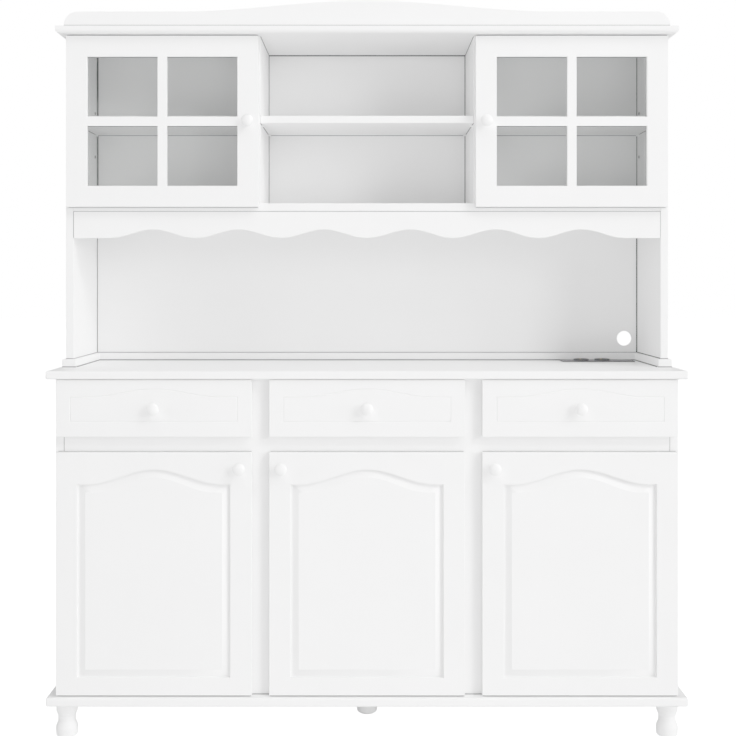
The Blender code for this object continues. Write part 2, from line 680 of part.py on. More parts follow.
def make_drawer(index):
    name = f"drawer_{index + 1}"
    centre_x = (index - 1) * FRONT_PITCH
    half = FRONT_WIDTH / 2
    low = (centre_x - half, FRONT_Y, DRAWER_FRONT_Z)
    high = (centre_x + half, FRONT_BACK_Y, DRAWER_FRONT_TOP_Z)
    front = board(f"{name}_front", low, high)

    def outline_at(inwards):
        return arched_outline(
            half - GROOVE_SIDE_MARGIN - inwards,
            GROOVE_BOTTOM_MARGIN + inwards,
            DRAWER_FRONT_HEIGHT - GROOVE_SHOULDER_MARGIN - inwards,
            half - GROOVE_SIDE_MARGIN - GROOVE_SHOULDER_WIDTH - inwards,
            GROOVE_ARCH_RISE,
        )

    spread = GROOVE_WIDTH / 2 * (1 + CUT_OVERRUN / GROOVE_DEPTH)
    section = [(-spread, -CUT_OVERRUN), (0.0, GROOVE_DEPTH), (spread, -CUT_OVERRUN)]
    groove = routed_cut(f"{name}_groove", centre_x, FRONT_Y, DRAWER_FRONT_Z, outline_at, section)
    combine(front, groove, "DIFFERENCE")

    box_x = (index - 1) * OUTER_BOX_X
    box_half = DRAWER_BOX_WIDTH / 2
    box_y = FRONT_BACK_Y + TOUCH_GAP
    box_low = Vector((box_x - box_half, box_y, DRAWER_BOX_Z))
    box_high = Vector((box_x + box_half, box_y + DRAWER_BOX_LENGTH, DRAWER_BOX_Z + DRAWER_BOX_HEIGHT))
    box = block(f"{name}_box", box_low, box_high, painted(f"{name}_box", LINING))
    hollow = hidden_block(
        f"{name}_hollow",
        box_low + Vector((DRAWER_WALL, DRAWER_WALL, DRAWER_FLOOR)),
        box_high + Vector((-DRAWER_WALL, -DRAWER_WALL, CUT_OVERRUN)),
    )
    combine(box, hollow, "DIFFERENCE")

    knob_z = DRAWER_FRONT_Z + DRAWER_FRONT_HEIGHT / 2
    knob = make_knob(f"{name}_knob", centre_x, FRONT_Y, knob_z)
    axis_empty(f"{name}_slide", Vector((centre_x, FRONT_BACK_Y, DRAWER_BOX_Z)), (front, box, knob))


def bore_hinge_cup(leaf, name, edge_x, side, back_y, z):
    """The round hollow in a door's back that a hinge's cup sits in."""
    x = edge_x - side * (HINGE_CUP_EDGE_DISTANCE + HINGE_CUP_RADIUS)
    length = HINGE_CUP_DEPTH + CUT_OVERRUN
    centre = (x, back_y + CUT_OVERRUN - length / 2, z)
    combine(leaf, hidden_cylinder(name, centre, HINGE_CUP_RADIUS, length, "Y"), "DIFFERENCE")


def make_hinge(name, face_x, side, carcass_y, z):
    """A plate screwed to an upright's inner face, with the arm that reaches into the door's cup."""
    material = new_material(f"{name}_steel", STEEL, STEEL_ROUGHNESS, metallic=1.0)

    def box_corners(near, far, front_y, back_y, height):
        ends = sorted((face_x - side * near, face_x - side * far))
        return (ends[0], front_y, z - height / 2), (ends[1], back_y, z + height / 2)

    plate_y = carcass_y + HINGE_PLATE_SETBACK
    plate_back_y = plate_y + HINGE_PLATE_DEPTH
    plate_far = TOUCH_GAP + HINGE_PLATE_THICKNESS
    plate = board(
        name,
        *box_corners(TOUCH_GAP, plate_far, plate_y, plate_back_y, HINGE_PLATE_HEIGHT),
        material,
        HINGE_ROUND,
        1,
    )
    tip_y = carcass_y - DOOR_BACK_GAP - HINGE_CUP_DEPTH + TOUCH_GAP
    corners = box_corners(
        TOUCH_GAP + HINGE_PLATE_THICKNESS / 2,
        HINGE_ARM_WIDTH,
        tip_y,
        plate_back_y - HINGE_ROUND,
        HINGE_ARM_HEIGHT,
    )
    arm = soften(hidden_block(f"{name}_arm", *corners), HINGE_ROUND, 1)
    combine(plate, arm, "UNION")


def make_base_door(index, side, face_x):
    """A door hung on its left (-1) or right (1), with hinges on the upright whose face is named."""
    name = f"door_{index + 1}"
    centre_x = (index - 1) * FRONT_PITCH
    half = FRONT_WIDTH / 2
    low = (centre_x - half, FRONT_Y, DOOR_Z)
    high = (centre_x + half, FRONT_BACK_Y, DOOR_TOP_Z)
    leaf = board(f"{name}_leaf", low, high)

    def outline_at(inwards):
        return arched_outline(
            half - DOOR_STILE - inwards,
            DOOR_BOTTOM_MARGIN + inwards,
            DOOR_HEIGHT - DOOR_SHOULDER_MARGIN - inwards,
            half - DOOR_STILE - DOOR_SHOULDER_WIDTH - inwards,
            DOOR_ARCH_RISE,
        )

    field = PANEL_FLOOR_STRIP + PANEL_BEVEL_WIDTH
    section = [
        (0.0, -CUT_OVERRUN),
        (0.0, PANEL_SINK),
        (PANEL_FLOOR_STRIP, PANEL_SINK),
        (field, PANEL_FIELD_SINK),
        (field, -CUT_OVERRUN),
    ]
    cut = routed_cut(f"{name}_panel_cut", centre_x, FRONT_Y, DOOR_Z, outline_at, section)
    combine(leaf, cut, "DIFFERENCE")

    edge_x = centre_x + side * half
    heights = (DOOR_Z + BASE_HINGE_END_DISTANCE, DOOR_TOP_Z - BASE_HINGE_END_DISTANCE)
    for place_name, z in zip(("lower", "upper"), heights):
        bore_hinge_cup(leaf, f"{name}_{place_name}_cup", edge_x, side, FRONT_BACK_Y, z)
        make_hinge(f"{name}_hinge_{place_name}", face_x, side, FRAME_Y, z)

    knob_x = centre_x - side * (half - KNOB_EDGE_DISTANCE)
    knob = make_knob(f"{name}_knob", knob_x, FRONT_Y, DOOR_TOP_Z - KNOB_DROP)
    axis_empty(f"{name}_axis", Vector((edge_x, FRONT_BACK_Y, DOOR_Z)), (leaf, knob))


# Hutch
PIN_Z = SHELF_Z - TOUCH_GAP - PIN_RADIUS


def add_shelf_pins(panel, face_x, side):
    """Two pegs under the shelf on one face, and the empty peg holes above and below them."""
    for y_name, y in (("front", HUTCH_Y + PIN_FRONT_INSET), ("rear", INNER_REAR_Y - PIN_BACK_INSET)):
        for level in (-1, 1):
            length = PIN_HOLE_DEPTH + CUT_OVERRUN
            x = face_x + side * (length / 2 - CUT_OVERRUN)
            centre = (x, y, PIN_Z + level * PIN_SPACING)
            name = f"{panel.name}_{y_name}_hole_{level + 1}_{side + 1}"
            hole = hidden_cylinder(name, centre, PIN_RADIUS, length, "X", SMALL_ROUND_STEPS)
            combine(panel, hole, "DIFFERENCE")
        centre = (face_x, y, PIN_Z)
        name = f"{panel.name}_{y_name}_peg_{side + 1}"
        peg = hidden_cylinder(name, centre, PIN_RADIUS, 2 * PIN_LENGTH, "X", SMALL_ROUND_STEPS)
        combine(panel, peg, "UNION")


def make_hutch_sides():
    for side, name in ((-1, "hutch_side_left"), (1, "hutch_side_right")):
        ends = sorted((side * HUTCH_INNER_X, side * HUTCH_WIDTH / 2))
        panel = board(name, (ends[0], HUTCH_Y, HUTCH_Z), (ends[1], REAR_Y, HUTCH_TOP_Z))
        cut_back_groove(panel, HUTCH_INNER_X, side, HUTCH_Z, HUTCH_TOP_Z)
        add_shelf_pins(panel, side * HUTCH_INNER_X, side)


def make_bay_partitions():
    for side, name in ((-1, "bay_partition_left"), (1, "bay_partition_right")):
        ends = sorted((side * BAY_WIDTH / 2, side * BAY_PARTITION_X))
        panel = board(name, (ends[0], HUTCH_Y, BAY_Z), (ends[1], INNER_REAR_Y, HUTCH_TOP_Z))
        add_shelf_pins(panel, side * BAY_WIDTH / 2, side)
        add_shelf_pins(panel, side * BAY_PARTITION_X, -side)


def make_plinth():
    outer_x = HUTCH_WIDTH / 2 + PLINTH_PROUD
    inner_x = HUTCH_INNER_X - PLINTH_PROUD
    front_y = HUTCH_Y - PLINTH_PROUD
    back_y = BACK_Y - PLINTH_PROUD
    right = [(inner_x, back_y), (inner_x, front_y), (outer_x, front_y), (outer_x, REAR_Y)]
    loop = right + [(-x, y) for x, y in reversed(right)]
    mesh = outline_mesh("hutch_plinth", [loop], PLINTH_HEIGHT, upright=False)
    plinth = place(
        "hutch_plinth", mesh, (0.0, 0.0, PLINTH_Z + PLINTH_HEIGHT / 2), painted("hutch_plinth")
    )
    soften(plinth, PLINTH_ROUND)


def make_hutch_boards():
    half = HUTCH_INNER_X - TOUCH_GAP
    top_z = BAY_FLOOR_Z + BOTTOM_BOARD_THICKNESS
    board("hutch_bottom_board", (-half, HUTCH_Y, BAY_FLOOR_Z), (half, INNER_REAR_Y, top_z))
    spans = {
        "shelf_left": (-HUTCH_INNER_X, -BAY_PARTITION_X),
        "shelf_middle": (-BAY_WIDTH / 2, BAY_WIDTH / 2),
        "shelf_right": (BAY_PARTITION_X, HUTCH_INNER_X),
    }
    for name, (low_x, high_x) in spans.items():
        low = (low_x + SHELF_END_CLEARANCE, HUTCH_Y + SHELF_SETBACK, SHELF_Z)
        high = (high_x - SHELF_END_CLEARANCE, INNER_REAR_Y, SHELF_Z + SHELF_THICKNESS)
        board(name, low, high)


def make_hutch_backs():
    """The back comes in two panels that meet behind the bottom board."""
    half = HUTCH_INNER_X + BACK_GROOVE_DEPTH - TOUCH_GAP
    seam_z = BAY_FLOOR_Z + BOTTOM_BOARD_THICKNESS / 2
    block(
        "hutch_back",
        (-half, BACK_Y, seam_z + TOUCH_GAP),
        (half, BACK_REAR_Y, HUTCH_TOP_Z),
        painted("hutch_back"),
    )
    niche_back = block(
        "niche_back", (-half, BACK_Y, HUTCH_Z), (half, BACK_REAR_Y, seam_z), painted("niche_back")
    )
    centre = (CABLE_HOLE_X, (BACK_Y + BACK_REAR_Y) / 2, WORKTOP_TOP_Z + CABLE_HOLE_RISE)
    length = BACK_THICKNESS + 2 * CUT_OVERRUN
    hole = hidden_cylinder("cable_hole", centre, CABLE_HOLE_RADIUS, length, "Y")
    combine(niche_back, hole, "DIFFERENCE")


def make_valance():
    """The apron under the bottom board, whose lower edge swings up in even scallops."""
    half = HUTCH_INNER_X - TOUCH_GAP
    reach = SCALLOP_PITCH * SCALLOP_COUNT / 2
    loop = [(half, VALANCE_HEIGHT), (-half, VALANCE_HEIGHT), (-half, 0.0)]
    for step in range(SCALLOP_COUNT * SCALLOP_STEPS + 1):
        x = -reach + SCALLOP_PITCH * step / SCALLOP_STEPS
        loop.append((x, SCALLOP_RISE * (1 - math.cos(2 * math.pi * step / SCALLOP_STEPS)) / 2))
    loop.append((half, 0.0))
    mesh = outline_mesh("valance", [loop], VALANCE_THICKNESS)
    location = (0.0, HUTCH_Y + VALANCE_THICKNESS / 2, BAY_FLOOR_Z - TOUCH_GAP - VALANCE_HEIGHT)
    soften(place("valance", mesh, location, painted("valance")), EDGE_ROUND, 1)


def make_cornice():
    """The top board: its lower front and side edges are rounded under, its upper ones only eased."""
    half = CORNICE_WIDTH / 2
    depth = REAR_Y - CORNICE_Y
    centre = (CORNICE_ROUND, CORNICE_ROUND)
    profile = quarter(centre, CORNICE_ROUND, CORNICE_ROUND, 2, CORNICE_CURVE_STEPS)[::-1]
    profile += [(0.0, CORNICE_THICKNESS - EDGE_ROUND), (EDGE_ROUND, CORNICE_THICKNESS)]
    rings = []
    for inwards, z in profile:
        x = half - inwards
        y = inwards - depth / 2
        rings.append([(-x, y, z), (x, y, z), (x, depth / 2, z), (-x, depth / 2, z)])
    location = (0.0, (CORNICE_Y + REAR_Y) / 2, CORNICE_Z)
    place("cornice", loft_mesh("cornice", rings), location, painted("cornice"))


def make_crown_board():
    half = HUTCH_WIDTH / 2
    end_z = CROWN_END_HEIGHT - CROWN_END_RADIUS
    right_end = quarter(
        (half - CROWN_END_RADIUS, end_z), CROWN_END_RADIUS, CROWN_END_RADIUS, 0, CROWN_END_STEPS
    )
    left_end = [(-x, z) for x, z in reversed(right_end)]
    swell = arch(CROWN_ARCH_HALF_WIDTH, CROWN_ARCH_RISE, CROWN_END_HEIGHT, CROWN_ARCH_STEPS)
    loop = [(-half, 0.0), (half, 0.0)] + right_end + swell + left_end
    mesh = outline_mesh("crown_board", [loop], CROWN_THICKNESS)
    location = (0.0, CORNICE_Y + CROWN_SETBACK + CROWN_THICKNESS / 2, CROWN_Z)
    soften(place("crown_board", mesh, location, painted("crown_board")), EDGE_ROUND)


def make_glazed_door(side, name):
    """A hutch door hung on its outer side, with one sheet of glass let in behind its bars."""
    front_y = HUTCH_Y - DOOR_BACK_GAP - DOOR_THICKNESS
    back_y = HUTCH_Y - DOOR_BACK_GAP
    pane_width = (GLAZED_WIDTH - 2 * GLAZED_RAIL - MUNTIN_WIDTH) / 2
    pane_height = (GLAZED_HEIGHT - 2 * GLAZED_RAIL - MUNTIN_WIDTH) / 2
    half = GLAZED_WIDTH / 2
    centre_x = side * (GLAZED_OUTER_X + GLAZED_INNER_X) / 2
    loops = [rectangle(-half, 0.0, half, GLAZED_HEIGHT)]
    for low_x in (GLAZED_RAIL - half, MUNTIN_WIDTH / 2):
        for low_z in (GLAZED_RAIL, GLAZED_RAIL + pane_height + MUNTIN_WIDTH):
            loops.append(rectangle(low_x, low_z, low_x + pane_width, low_z + pane_height))
    mesh = outline_mesh(f"{name}_frame", loops, DOOR_THICKNESS)
    location = (centre_x, (front_y + back_y) / 2, GLAZED_Z)
    frame = soften(place(f"{name}_frame", mesh, location, painted(f"{name}_frame")), EDGE_ROUND)

    rebate_half = half - GLAZED_RAIL + GLASS_REBATE_WIDTH
    rebate_z = GLAZED_Z + GLAZED_RAIL - GLASS_REBATE_WIDTH
    rebate_top_z = GLAZED_TOP_Z - GLAZED_RAIL + GLASS_REBATE_WIDTH
    rebate_y = back_y - GLASS_REBATE_DEPTH
    rebate = hidden_block(
        f"{name}_rebate",
        (centre_x - rebate_half, rebate_y, rebate_z),
        (centre_x + rebate_half, back_y + CUT_OVERRUN, rebate_top_z),
    )
    combine(frame, rebate, "DIFFERENCE")
    glass_half = rebate_half - TOUCH_GAP
    glass = block(
        f"{name}_glass",
        (centre_x - glass_half, rebate_y + TOUCH_GAP, rebate_z + TOUCH_GAP),
        (centre_x + glass_half, rebate_y + TOUCH_GAP + GLASS_THICKNESS, rebate_top_z - TOUCH_GAP),
        new_material(f"{name}_glass_sheet", CLEAR, GLASS_ROUGHNESS, alpha=CLEAR_ALPHA),
    )

    edge_x = side * GLAZED_OUTER_X
    heights = (GLAZED_Z + HUTCH_HINGE_END_DISTANCE, GLAZED_TOP_Z - HUTCH_HINGE_END_DISTANCE)
    for place_name, z in zip(("lower", "upper"), heights):
        bore_hinge_cup(frame, f"{name}_{place_name}_cup", edge_x, side, back_y, z)
        make_hinge(f"{name}_hinge_{place_name}", side * HUTCH_INNER_X, side, HUTCH_Y, z)

    knob_x = side * (GLAZED_INNER_X + GLAZED_RAIL / 2)
    knob = make_knob(f"{name}_knob", knob_x, front_y, GLAZED_Z + GLAZED_HEIGHT / 2)
    axis_empty(f"{name}_axis", Vector((edge_x, back_y, GLAZED_Z)), (frame, glass, knob))


make_feet()
make_base_board()
make_worktop()
make_outlet()
make_base_sides()
make_partitions()
make_face_frame()
make_base_back()
for drawer_index in range(3):
    make_drawer(drawer_index)
make_base_door(0, -1, -BASE_INNER_X)
make_base_door(1, 1, STILE_X - STILE_WIDTH / 2)
make_base_door(2, 1, BASE_INNER_X)
make_plinth()
make_hutch_sides()
make_bay_partitions()
make_hutch_boards()
make_hutch_backs()
make_valance()
make_cornice()
make_crown_board()
make_glazed_door(-1, "glazed_door_left")
make_glazed_door(1, "glazed_door_right")
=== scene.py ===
"""Looks of the painted buffet cabinet: paint, steel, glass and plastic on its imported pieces,
with its own feet, knobs, door leaves, drawer fronts, hinges and outlet, in a plain white studio."""

import math

import bmesh
import bpy
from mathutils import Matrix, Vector


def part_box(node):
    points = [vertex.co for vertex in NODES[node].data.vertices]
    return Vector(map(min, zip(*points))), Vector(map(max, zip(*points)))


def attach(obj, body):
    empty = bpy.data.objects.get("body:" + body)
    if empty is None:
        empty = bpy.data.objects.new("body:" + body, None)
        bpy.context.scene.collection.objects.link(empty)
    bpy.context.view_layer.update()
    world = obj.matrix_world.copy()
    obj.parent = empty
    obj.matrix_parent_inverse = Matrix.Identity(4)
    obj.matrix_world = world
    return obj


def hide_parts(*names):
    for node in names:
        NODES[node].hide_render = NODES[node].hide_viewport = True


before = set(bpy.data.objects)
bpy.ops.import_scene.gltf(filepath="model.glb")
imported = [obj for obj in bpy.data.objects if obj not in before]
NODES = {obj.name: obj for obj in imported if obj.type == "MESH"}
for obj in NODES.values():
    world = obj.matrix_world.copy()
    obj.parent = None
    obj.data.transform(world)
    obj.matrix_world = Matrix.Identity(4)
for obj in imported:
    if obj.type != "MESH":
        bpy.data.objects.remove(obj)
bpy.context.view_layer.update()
BASE_DOORS = ("door_1", "door_2", "door_3")
GLAZED_DOORS = ("glazed_door_left", "glazed_door_right")

# Camera, as solved from the photograph
CAMERA_PLACE = (0.0024, -2.97785, 1.108)
CAMERA_LENS = 56.96
CAMERA_SENSOR = 36.0
CAMERA_SHIFT_Y = -0.1202

# Light
WORLD_WHITE = (1.0, 1.0, 1.0, 1.0)
WORLD_LIGHT = 0.065
WORLD_SHOWN = 1.0
FLOOR_GLOW = 0.97
FLOOR_SIZE = 60.0
LIGHT_TARGET = (0.0, 0.0, 1.0)
LIGHTS = {
    "key_low": ((11.0, -11.0, 4.2), 4.2, 400.0),
    "key_high": ((10.7, -7.5, 10.2), 4.2, 630.0),
    "side_right": ((10.0, -3.6, 2.2), 4.0, 225.0),
    "side_left": ((-5.0, -1.8, 1.6), 2.0, 42.0),
    "above": ((0.0, -0.6, 5.0), 4.0, 54.0),
    "front_fill": ((0.0, -4.6, 1.4), 3.0, 3.5),
    "front_right": ((2.6, -6.5, 1.3), 2.5, 4.0),
    "front_left": ((-2.6, -6.5, 1.3), 2.5, 8.5),
    "top_fill": ((0.5, -2.5, 4.2), 3.0, 22.5),
    "low_fill": ((0.0, -3.5, 0.25), 2.0, 16.5),
}
DISPLAY_GAMMA = 2.2

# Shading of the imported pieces
WELD_DISTANCE = 0.00002
SHARP_ANGLE = math.radians(38)

# Feet and knobs
FOOT_HEIGHT = 0.084
FOOT_COLLAR = 0.0255
FOOT_COLLAR_END = 0.0595
FOOT_NECK = 0.0209
FOOT_NECK_HEIGHT = 0.05
FOOT_NECK_END = 0.042
FOOT_BULGE = 0.0264
FOOT_BULGE_TOP = 0.022
FOOT_BULGE_FOOT = 0.0085
FOOT_TOE = 0.0205
GLIDE_HEIGHT = 0.0022
FOOT_LIP = 0.0012
FOOT_COVE = 0.0042
FOOT_SHOULDER = 0.006
FOOT_TAPER = 0.0006
GLIDE_INSET = 0.002
GLIDE_ROUND = 0.0005
GLIDE_EDGE = 0.0006
GLIDE_LAP = 0.0004
FOOT_STEPS = 56
KNOB_LENGTH = 0.024
KNOB_RADIUS = 0.015
KNOB_NECK = 0.0065
KNOB_BASE = 0.0085
KNOB_BASE_HEIGHT = 0.0012
KNOB_BASE_ROUND = 0.0007
KNOB_NECK_SHARE = 0.34
KNOB_RIM_SHARE = 0.66
KNOB_SCREW = (0.0042, 0.0012)
KNOB_SCREW_LIFT = 0.0003
KNOB_STEPS = 44

# Screw heads, in shares of their radius and height
SCREW_STEPS = 32
SCREW_SKIRT = (0.98, -0.3)
SCREW_DOME_END = 56
SCREW_RECESS = ((0.52, 0.87), (0.44, 0.30), (0.0, 0.22))
SCREW_CROSS_SHARE = 0.28
SCREW_CROSS_POWER = 8

# Base doors and drawer fronts
LEAF_THICKNESS = 0.018
FLAT_STEPS = 3
ARCH_STEPS = 64
BACK_ROUND = 0.001
FRONT_ROUND = 0.0014
# Margins at the sides, foot and shoulders, the shoulder's width, and the arch's rise
DOOR_PANEL = (0.0510, 0.0425, 0.0785, 0.0185, 0.036)
DRAWER_GROOVE = (0.0345, 0.037, 0.040, 0.0425, 0.020)
LIP_ROUND = 0.0005
PANEL_SINK = 0.0092
QUIRK_WIDTH = 0.0032
BEVEL_WIDTH = 0.0162
PANEL_STEP = 0.0009
FIELD_SINK = 0.0004
QUIRK_ROUND = (0.0003, 0.0005)
BEVEL_STEPS = 6
FIELD_EDGE = ((0.0003, PANEL_STEP - 0.0004), (0.0009, FIELD_SINK), (0.004, FIELD_SINK))
GROOVE_HALF = 0.0015
GROOVE_DEPTH = 0.0014
GROOVE_SHARES = ((-1, 0), (-0.75, 0.35), (-0.35, 0.9), (0, 1), (0.35, 0.9), (0.75, 0.35), (1, 0))
DRAWER_TOP_EXTRA = 0.0015
DOOR_TOP_TRIM = 0.0024

# Hinges
CUP_RADIUS = 0.0175
CUP_DEPTH = 0.012
CUP_FROM_EDGE = 0.0225
CUP_STEPS = 40
CUP_WALL = [(0.0, -0.0118), (0.0155, -0.0118), (0.0171, -0.0110), (0.0171, 0.0)]
CUP_FLANGE = [(0.0190, 0.00005), (0.0191, 0.0004), (0.0188, 0.0006)]
CUP_LIP = [(0.0167, 0.0005), (0.0162, 0.0001), (0.0161, -0.0100), (0.0148, -0.0112), (0.0, -0.0112)]
CUP_OVAL_FROM = 0.0185
CUP_OVAL_EXTRA = 0.0075
CUP_SCREW = (0.0031, 0.0008)
CUP_SCREW_LIFT = 0.0006
CUP_SCREW_OFFSET = 0.0217
PLATE_DEPTH = 0.016
PLATE_HALF = 0.025
PLATE_PROUD = 0.0022
PLATE_ROUND = 0.0004
PLATE_CORNER = 0.0045
PLATE_SCREW = (0.0038, 0.0011)
PLATE_SCREW_OFFSET = 0.0172
ARM_FRONT_GAP = 0.0015
RIDGE_TOP = 0.0102
# The pressed arm and its ridge: start and end across, gap at the back, half height, rounding
ARM_PARTS = ((0.0016, 0.0088, 0.0012, 0.0066, 0.0012), (0.006, RIDGE_TOP, 0.0045, 0.0038, 0.0011))
ARM_SCREW = (0.0029, 0.0004)
ARM_SCREW_INSET = 0.0095

# Outlet
WORKTOP_TOP = 0.8889
OUTLET_PLATE = 0.0024
OUTLET_CORNER = 0.004
SOCKET_PLACES = (0.57375, 0.62925)
SOCKET_RADIUS = 0.0205
SOCKET_STEPS = 56
OUTLET_LIFT = 0.0003
OUTLET_ROUND = 0.0009
BODY_INSET = 0.0042
BODY_ROUND = 0.0012
BODY_CORNER = 0.002
BODY_LAP = 0.001
RIM_SUNK = 0.0004
RIM_OUTER_ROUND = 0.0011
RIM_INNER_ROUND = 0.0006
RIM_WIDTH = 0.0028
RIM_FOOT = 0.0036
SOCKET_FLOOR = 0.0006
EYE_OFFSET = 0.0095
EYE_FLOOR = 0.0007
EYE_WALL = ((0.0, 0.0), (0.0034, 0.0), (0.0034, 0.0011), (0.0030, 0.0014), (0.0026, 0.0011))
EYE_PROFILE = EYE_WALL + ((0.0024, EYE_FLOOR), (0.0, EYE_FLOOR))
EYE_STEPS = 24
CONTACT_HALF = 0.0025
CONTACT_NEAR = 0.0055
CONTACT_FAR = 0.0031
CONTACT_DROP = 0.0011
CONTACT_ROUND = 0.0005

# Joint lines of painted shade: their legs, and how far below and above its joint each flat one reaches
LINE_LIFT = 0.00005
BOARD_CLEARANCE = 0.0003
SHELF_CLEARANCE = 0.0005
# The inner faces of the hutch's sides, less the lines' lift, and their front edges
HUTCH_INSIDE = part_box("valance")[1][0] + BOARD_CLEARANCE - LINE_LIFT
HUTCH_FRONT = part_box("hutch_side_right")[0][1]
LINE_THIN = 0.0008
LINE_FINE = 0.0013
LINE_MIDDLE = 0.0017
LINE_BOLD = 0.0024
LINE_HEAVY = 0.003
LINE_WIDE = 0.0042
CEILING_REACH = 0.006
SHELF_REACH = 0.002
BAY_LINE_START = 0.004
NICHE_LINE_START = 0.001
NICHE_FOOT_TRIM = 0.0004
STRIP_CHAMFER = 0.0001
STRIP_PROUD = 0.0003
STRIP_SUNK = 0.001
VALANCE_LINE = (-0.0005, 0.0007)
VALANCE_FOOT_GAP = 0.001
VALANCE_SIDE_HALVES = (0.0006, 0.0003)
CROWN_END_GAP = 0.0012
CROWN_LINE_PROUD = 0.0008
CROWN_LINE = 0.0042
PLINTH_PROUD = 0.008
PLINTH_LINE_PROUD = 0.0004
PLINTH_LINE = (-0.0001, 0.0019)
HUTCH_SIDE_GAP = 0.0005
HUTCH_LINE = (-0.0002, 0.0017)
FRAME_SIDE_HALVES = (0.0006, 0.0004)
RAIL_LAP = 0.006

# Painted shadow rims at the empty peg holes, painted shade lines at the panes, painted shade lips in the
# door gaps, and panel pins
PEG_RADIUS = 0.0025
PEG_SPACING = 0.0585
PEG_FRONT_INSET = 0.04
PEG_BACK_INSET = 0.024
PEG_RIM = 0.0017
PEG_RIM_PROUD = 0.0014
PEG_RIM_SLOPE = 0.0002
PEG_STEPS = 20
GLAZED_RAIL = 0.052
MUNTIN_WIDTH = 0.023
PANE_SHADE_REACH = 0.009
PANE_SHADE_LEG = 0.0007
LIP_INSET = 0.002
LIP_DEPTH = 0.0058
LIP_BEHIND = 0.0014
LIP_LAP = 0.0005
LIP_CLEARANCE = 0.0003
CORNICE_CLEARANCE = 0.0009
LEAF_LIP = (-0.005, -0.0017)
GLAZED_LIP = (-0.001, 0.003)
PIN_PITCH = 0.12
PIN_INSET_X = 0.014
PIN_INSET_Z = 0.008
PIN_RADIUS = 0.0024
PIN_HEIGHT = 0.0007
PIN_SUNK = 0.0004
PIN_STEPS = 12


# Node helpers
def preset(node, inputs):
    """Sets a node's inputs by name."""
    for key, value in inputs.items():
        node.inputs[key].default_value = value


class Tree:
    """A material's nodes, with short calls for the ones used here."""

    def __init__(self, name, inputs=None):
        self.material = bpy.data.materials.new(name)
        self.material.use_nodes = True
        self.nodes = self.material.node_tree.nodes
        self.link = self.material.node_tree.links.new
        self.shader = self.nodes["Principled BSDF"]
        self.output = self.nodes["Material Output"]
        self.place = self.node("ShaderNodeTexCoord").outputs["Object"]
        preset(self.shader, inputs or {})

    def node(self, kind, inputs=None, **values):
        made = self.nodes.new(kind)
        for key, value in values.items():
            setattr(made, key, value)
        preset(made, inputs or {})
        return made

    def stretched(self, scale, offset=(0.0, 0.0, 0.0)):
        mapping = self.node("ShaderNodeMapping", {"Scale": scale, "Location": offset})
        self.link(self.place, mapping.inputs["Vector"])
        return mapping.outputs["Vector"]

    def noise(self, scale, detail=2.0, rough=0.5, vector=None, distortion=0.0):
        inputs = {"Scale": scale, "Detail": detail, "Roughness": rough, "Distortion": distortion}
        made = self.node("ShaderNodeTexNoise", inputs)
        self.link(vector or self.place, made.inputs["Vector"])
        return made.outputs["Fac"]

    def spread(self, value, low=0.0, high=1.0):
        inputs = {"From Min": NOISE_LOW, "From Max": NOISE_HIGH, "To Min": low, "To Max": high}
        made = self.node("ShaderNodeMapRange", inputs)
        self.link(value, made.inputs["Value"])
        return made.outputs["Result"]

    def maths(self, operation, first, second):
        made = self.node("ShaderNodeMath", operation=operation)
        for socket, value in zip(made.inputs, (first, second)):
            if isinstance(value, (int, float)):
                socket.default_value = value
            else:
                self.link(value, socket)
        return made.outputs["Value"]

    def bumped(self, height, strength, distance, under=None):
        made = self.node("ShaderNodeBump", {"Strength": strength, "Distance": distance})
        self.link(height, made.inputs["Height"])
        if under is not None:
            self.link(under, made.inputs["Normal"])
        return made.outputs["Normal"]

    def finish(self, tone, shades, roughness, normal):
        dark, light = shades
        mixed = self.node("ShaderNodeMix", {"A": (*dark, 1.0), "B": (*light, 1.0)}, data_type="RGBA")
        self.link(tone, mixed.inputs["Factor"])
        colour = next(s for s in mixed.outputs if s.type == "RGBA")
        for value, name in ((colour, "Base Color"), (roughness, "Roughness"), (normal, "Normal")):
            self.link(value, self.shader.inputs[name])
        return self.material


# Materials
NOISE_LOW = 0.3
NOISE_HIGH = 0.7
GRAIN_FINE = 210.0
GRAIN_LONG = 5.0
PAINT_SEED = 0.7
LINING_OFFSET = (0.4, 0.4, -0.4)
PAINT_SHADES = ((0.885, 0.885, 0.886), (0.915, 0.915, 0.915))
LINING_SHADES = ((0.845, 0.845, 0.84), (0.885, 0.885, 0.88))
KNOB_SHADES = ((0.885, 0.885, 0.884), (0.91, 0.91, 0.91))
STEEL_SHADES = ((0.50, 0.50, 0.485), (0.68, 0.68, 0.665))
PLASTIC_SHADES = ((0.0007, 0.0007, 0.0008), (0.0016, 0.0016, 0.0017))
BRASS_SHADES = ((0.38, 0.26, 0.11), (0.56, 0.42, 0.20))
FELT_SHADES = ((0.42, 0.42, 0.41), (0.72, 0.72, 0.70))
# Dark greys of the painted shade in the joint lines, pane lines and door gaps
SHADOW_SHADES = ((0.022, 0.022, 0.023), (0.050, 0.050, 0.050))
FLOOR_SHADES = ((0.93, 0.93, 0.93), (0.945, 0.945, 0.945))
GLASS_SHEEN = (0.9, 0.93, 0.92, 1.0)
GLASS_CLEAR = (0.954, 0.958, 0.956, 1.0)
GLASS_MIRROR = 0.04
PAINT_SHEEN = 0.42
DULL_SHEEN = 0.1
METAL = {"Metallic": 1.0}
# Depths of the surface textures
STIPPLE_DEPTH = 0.00005
SPRAY_WAVE_DEPTH = 0.0004
PRESSED_DEPTH = 0.00004
LINING_WAVE_DEPTH = 0.0003
BRUSHED_DEPTH = 0.00003
SOFT_DEPTH = 0.0002
SHADE_BUMP_DEPTH = 0.0001
GLASS_WAVE_DEPTH = 0.002


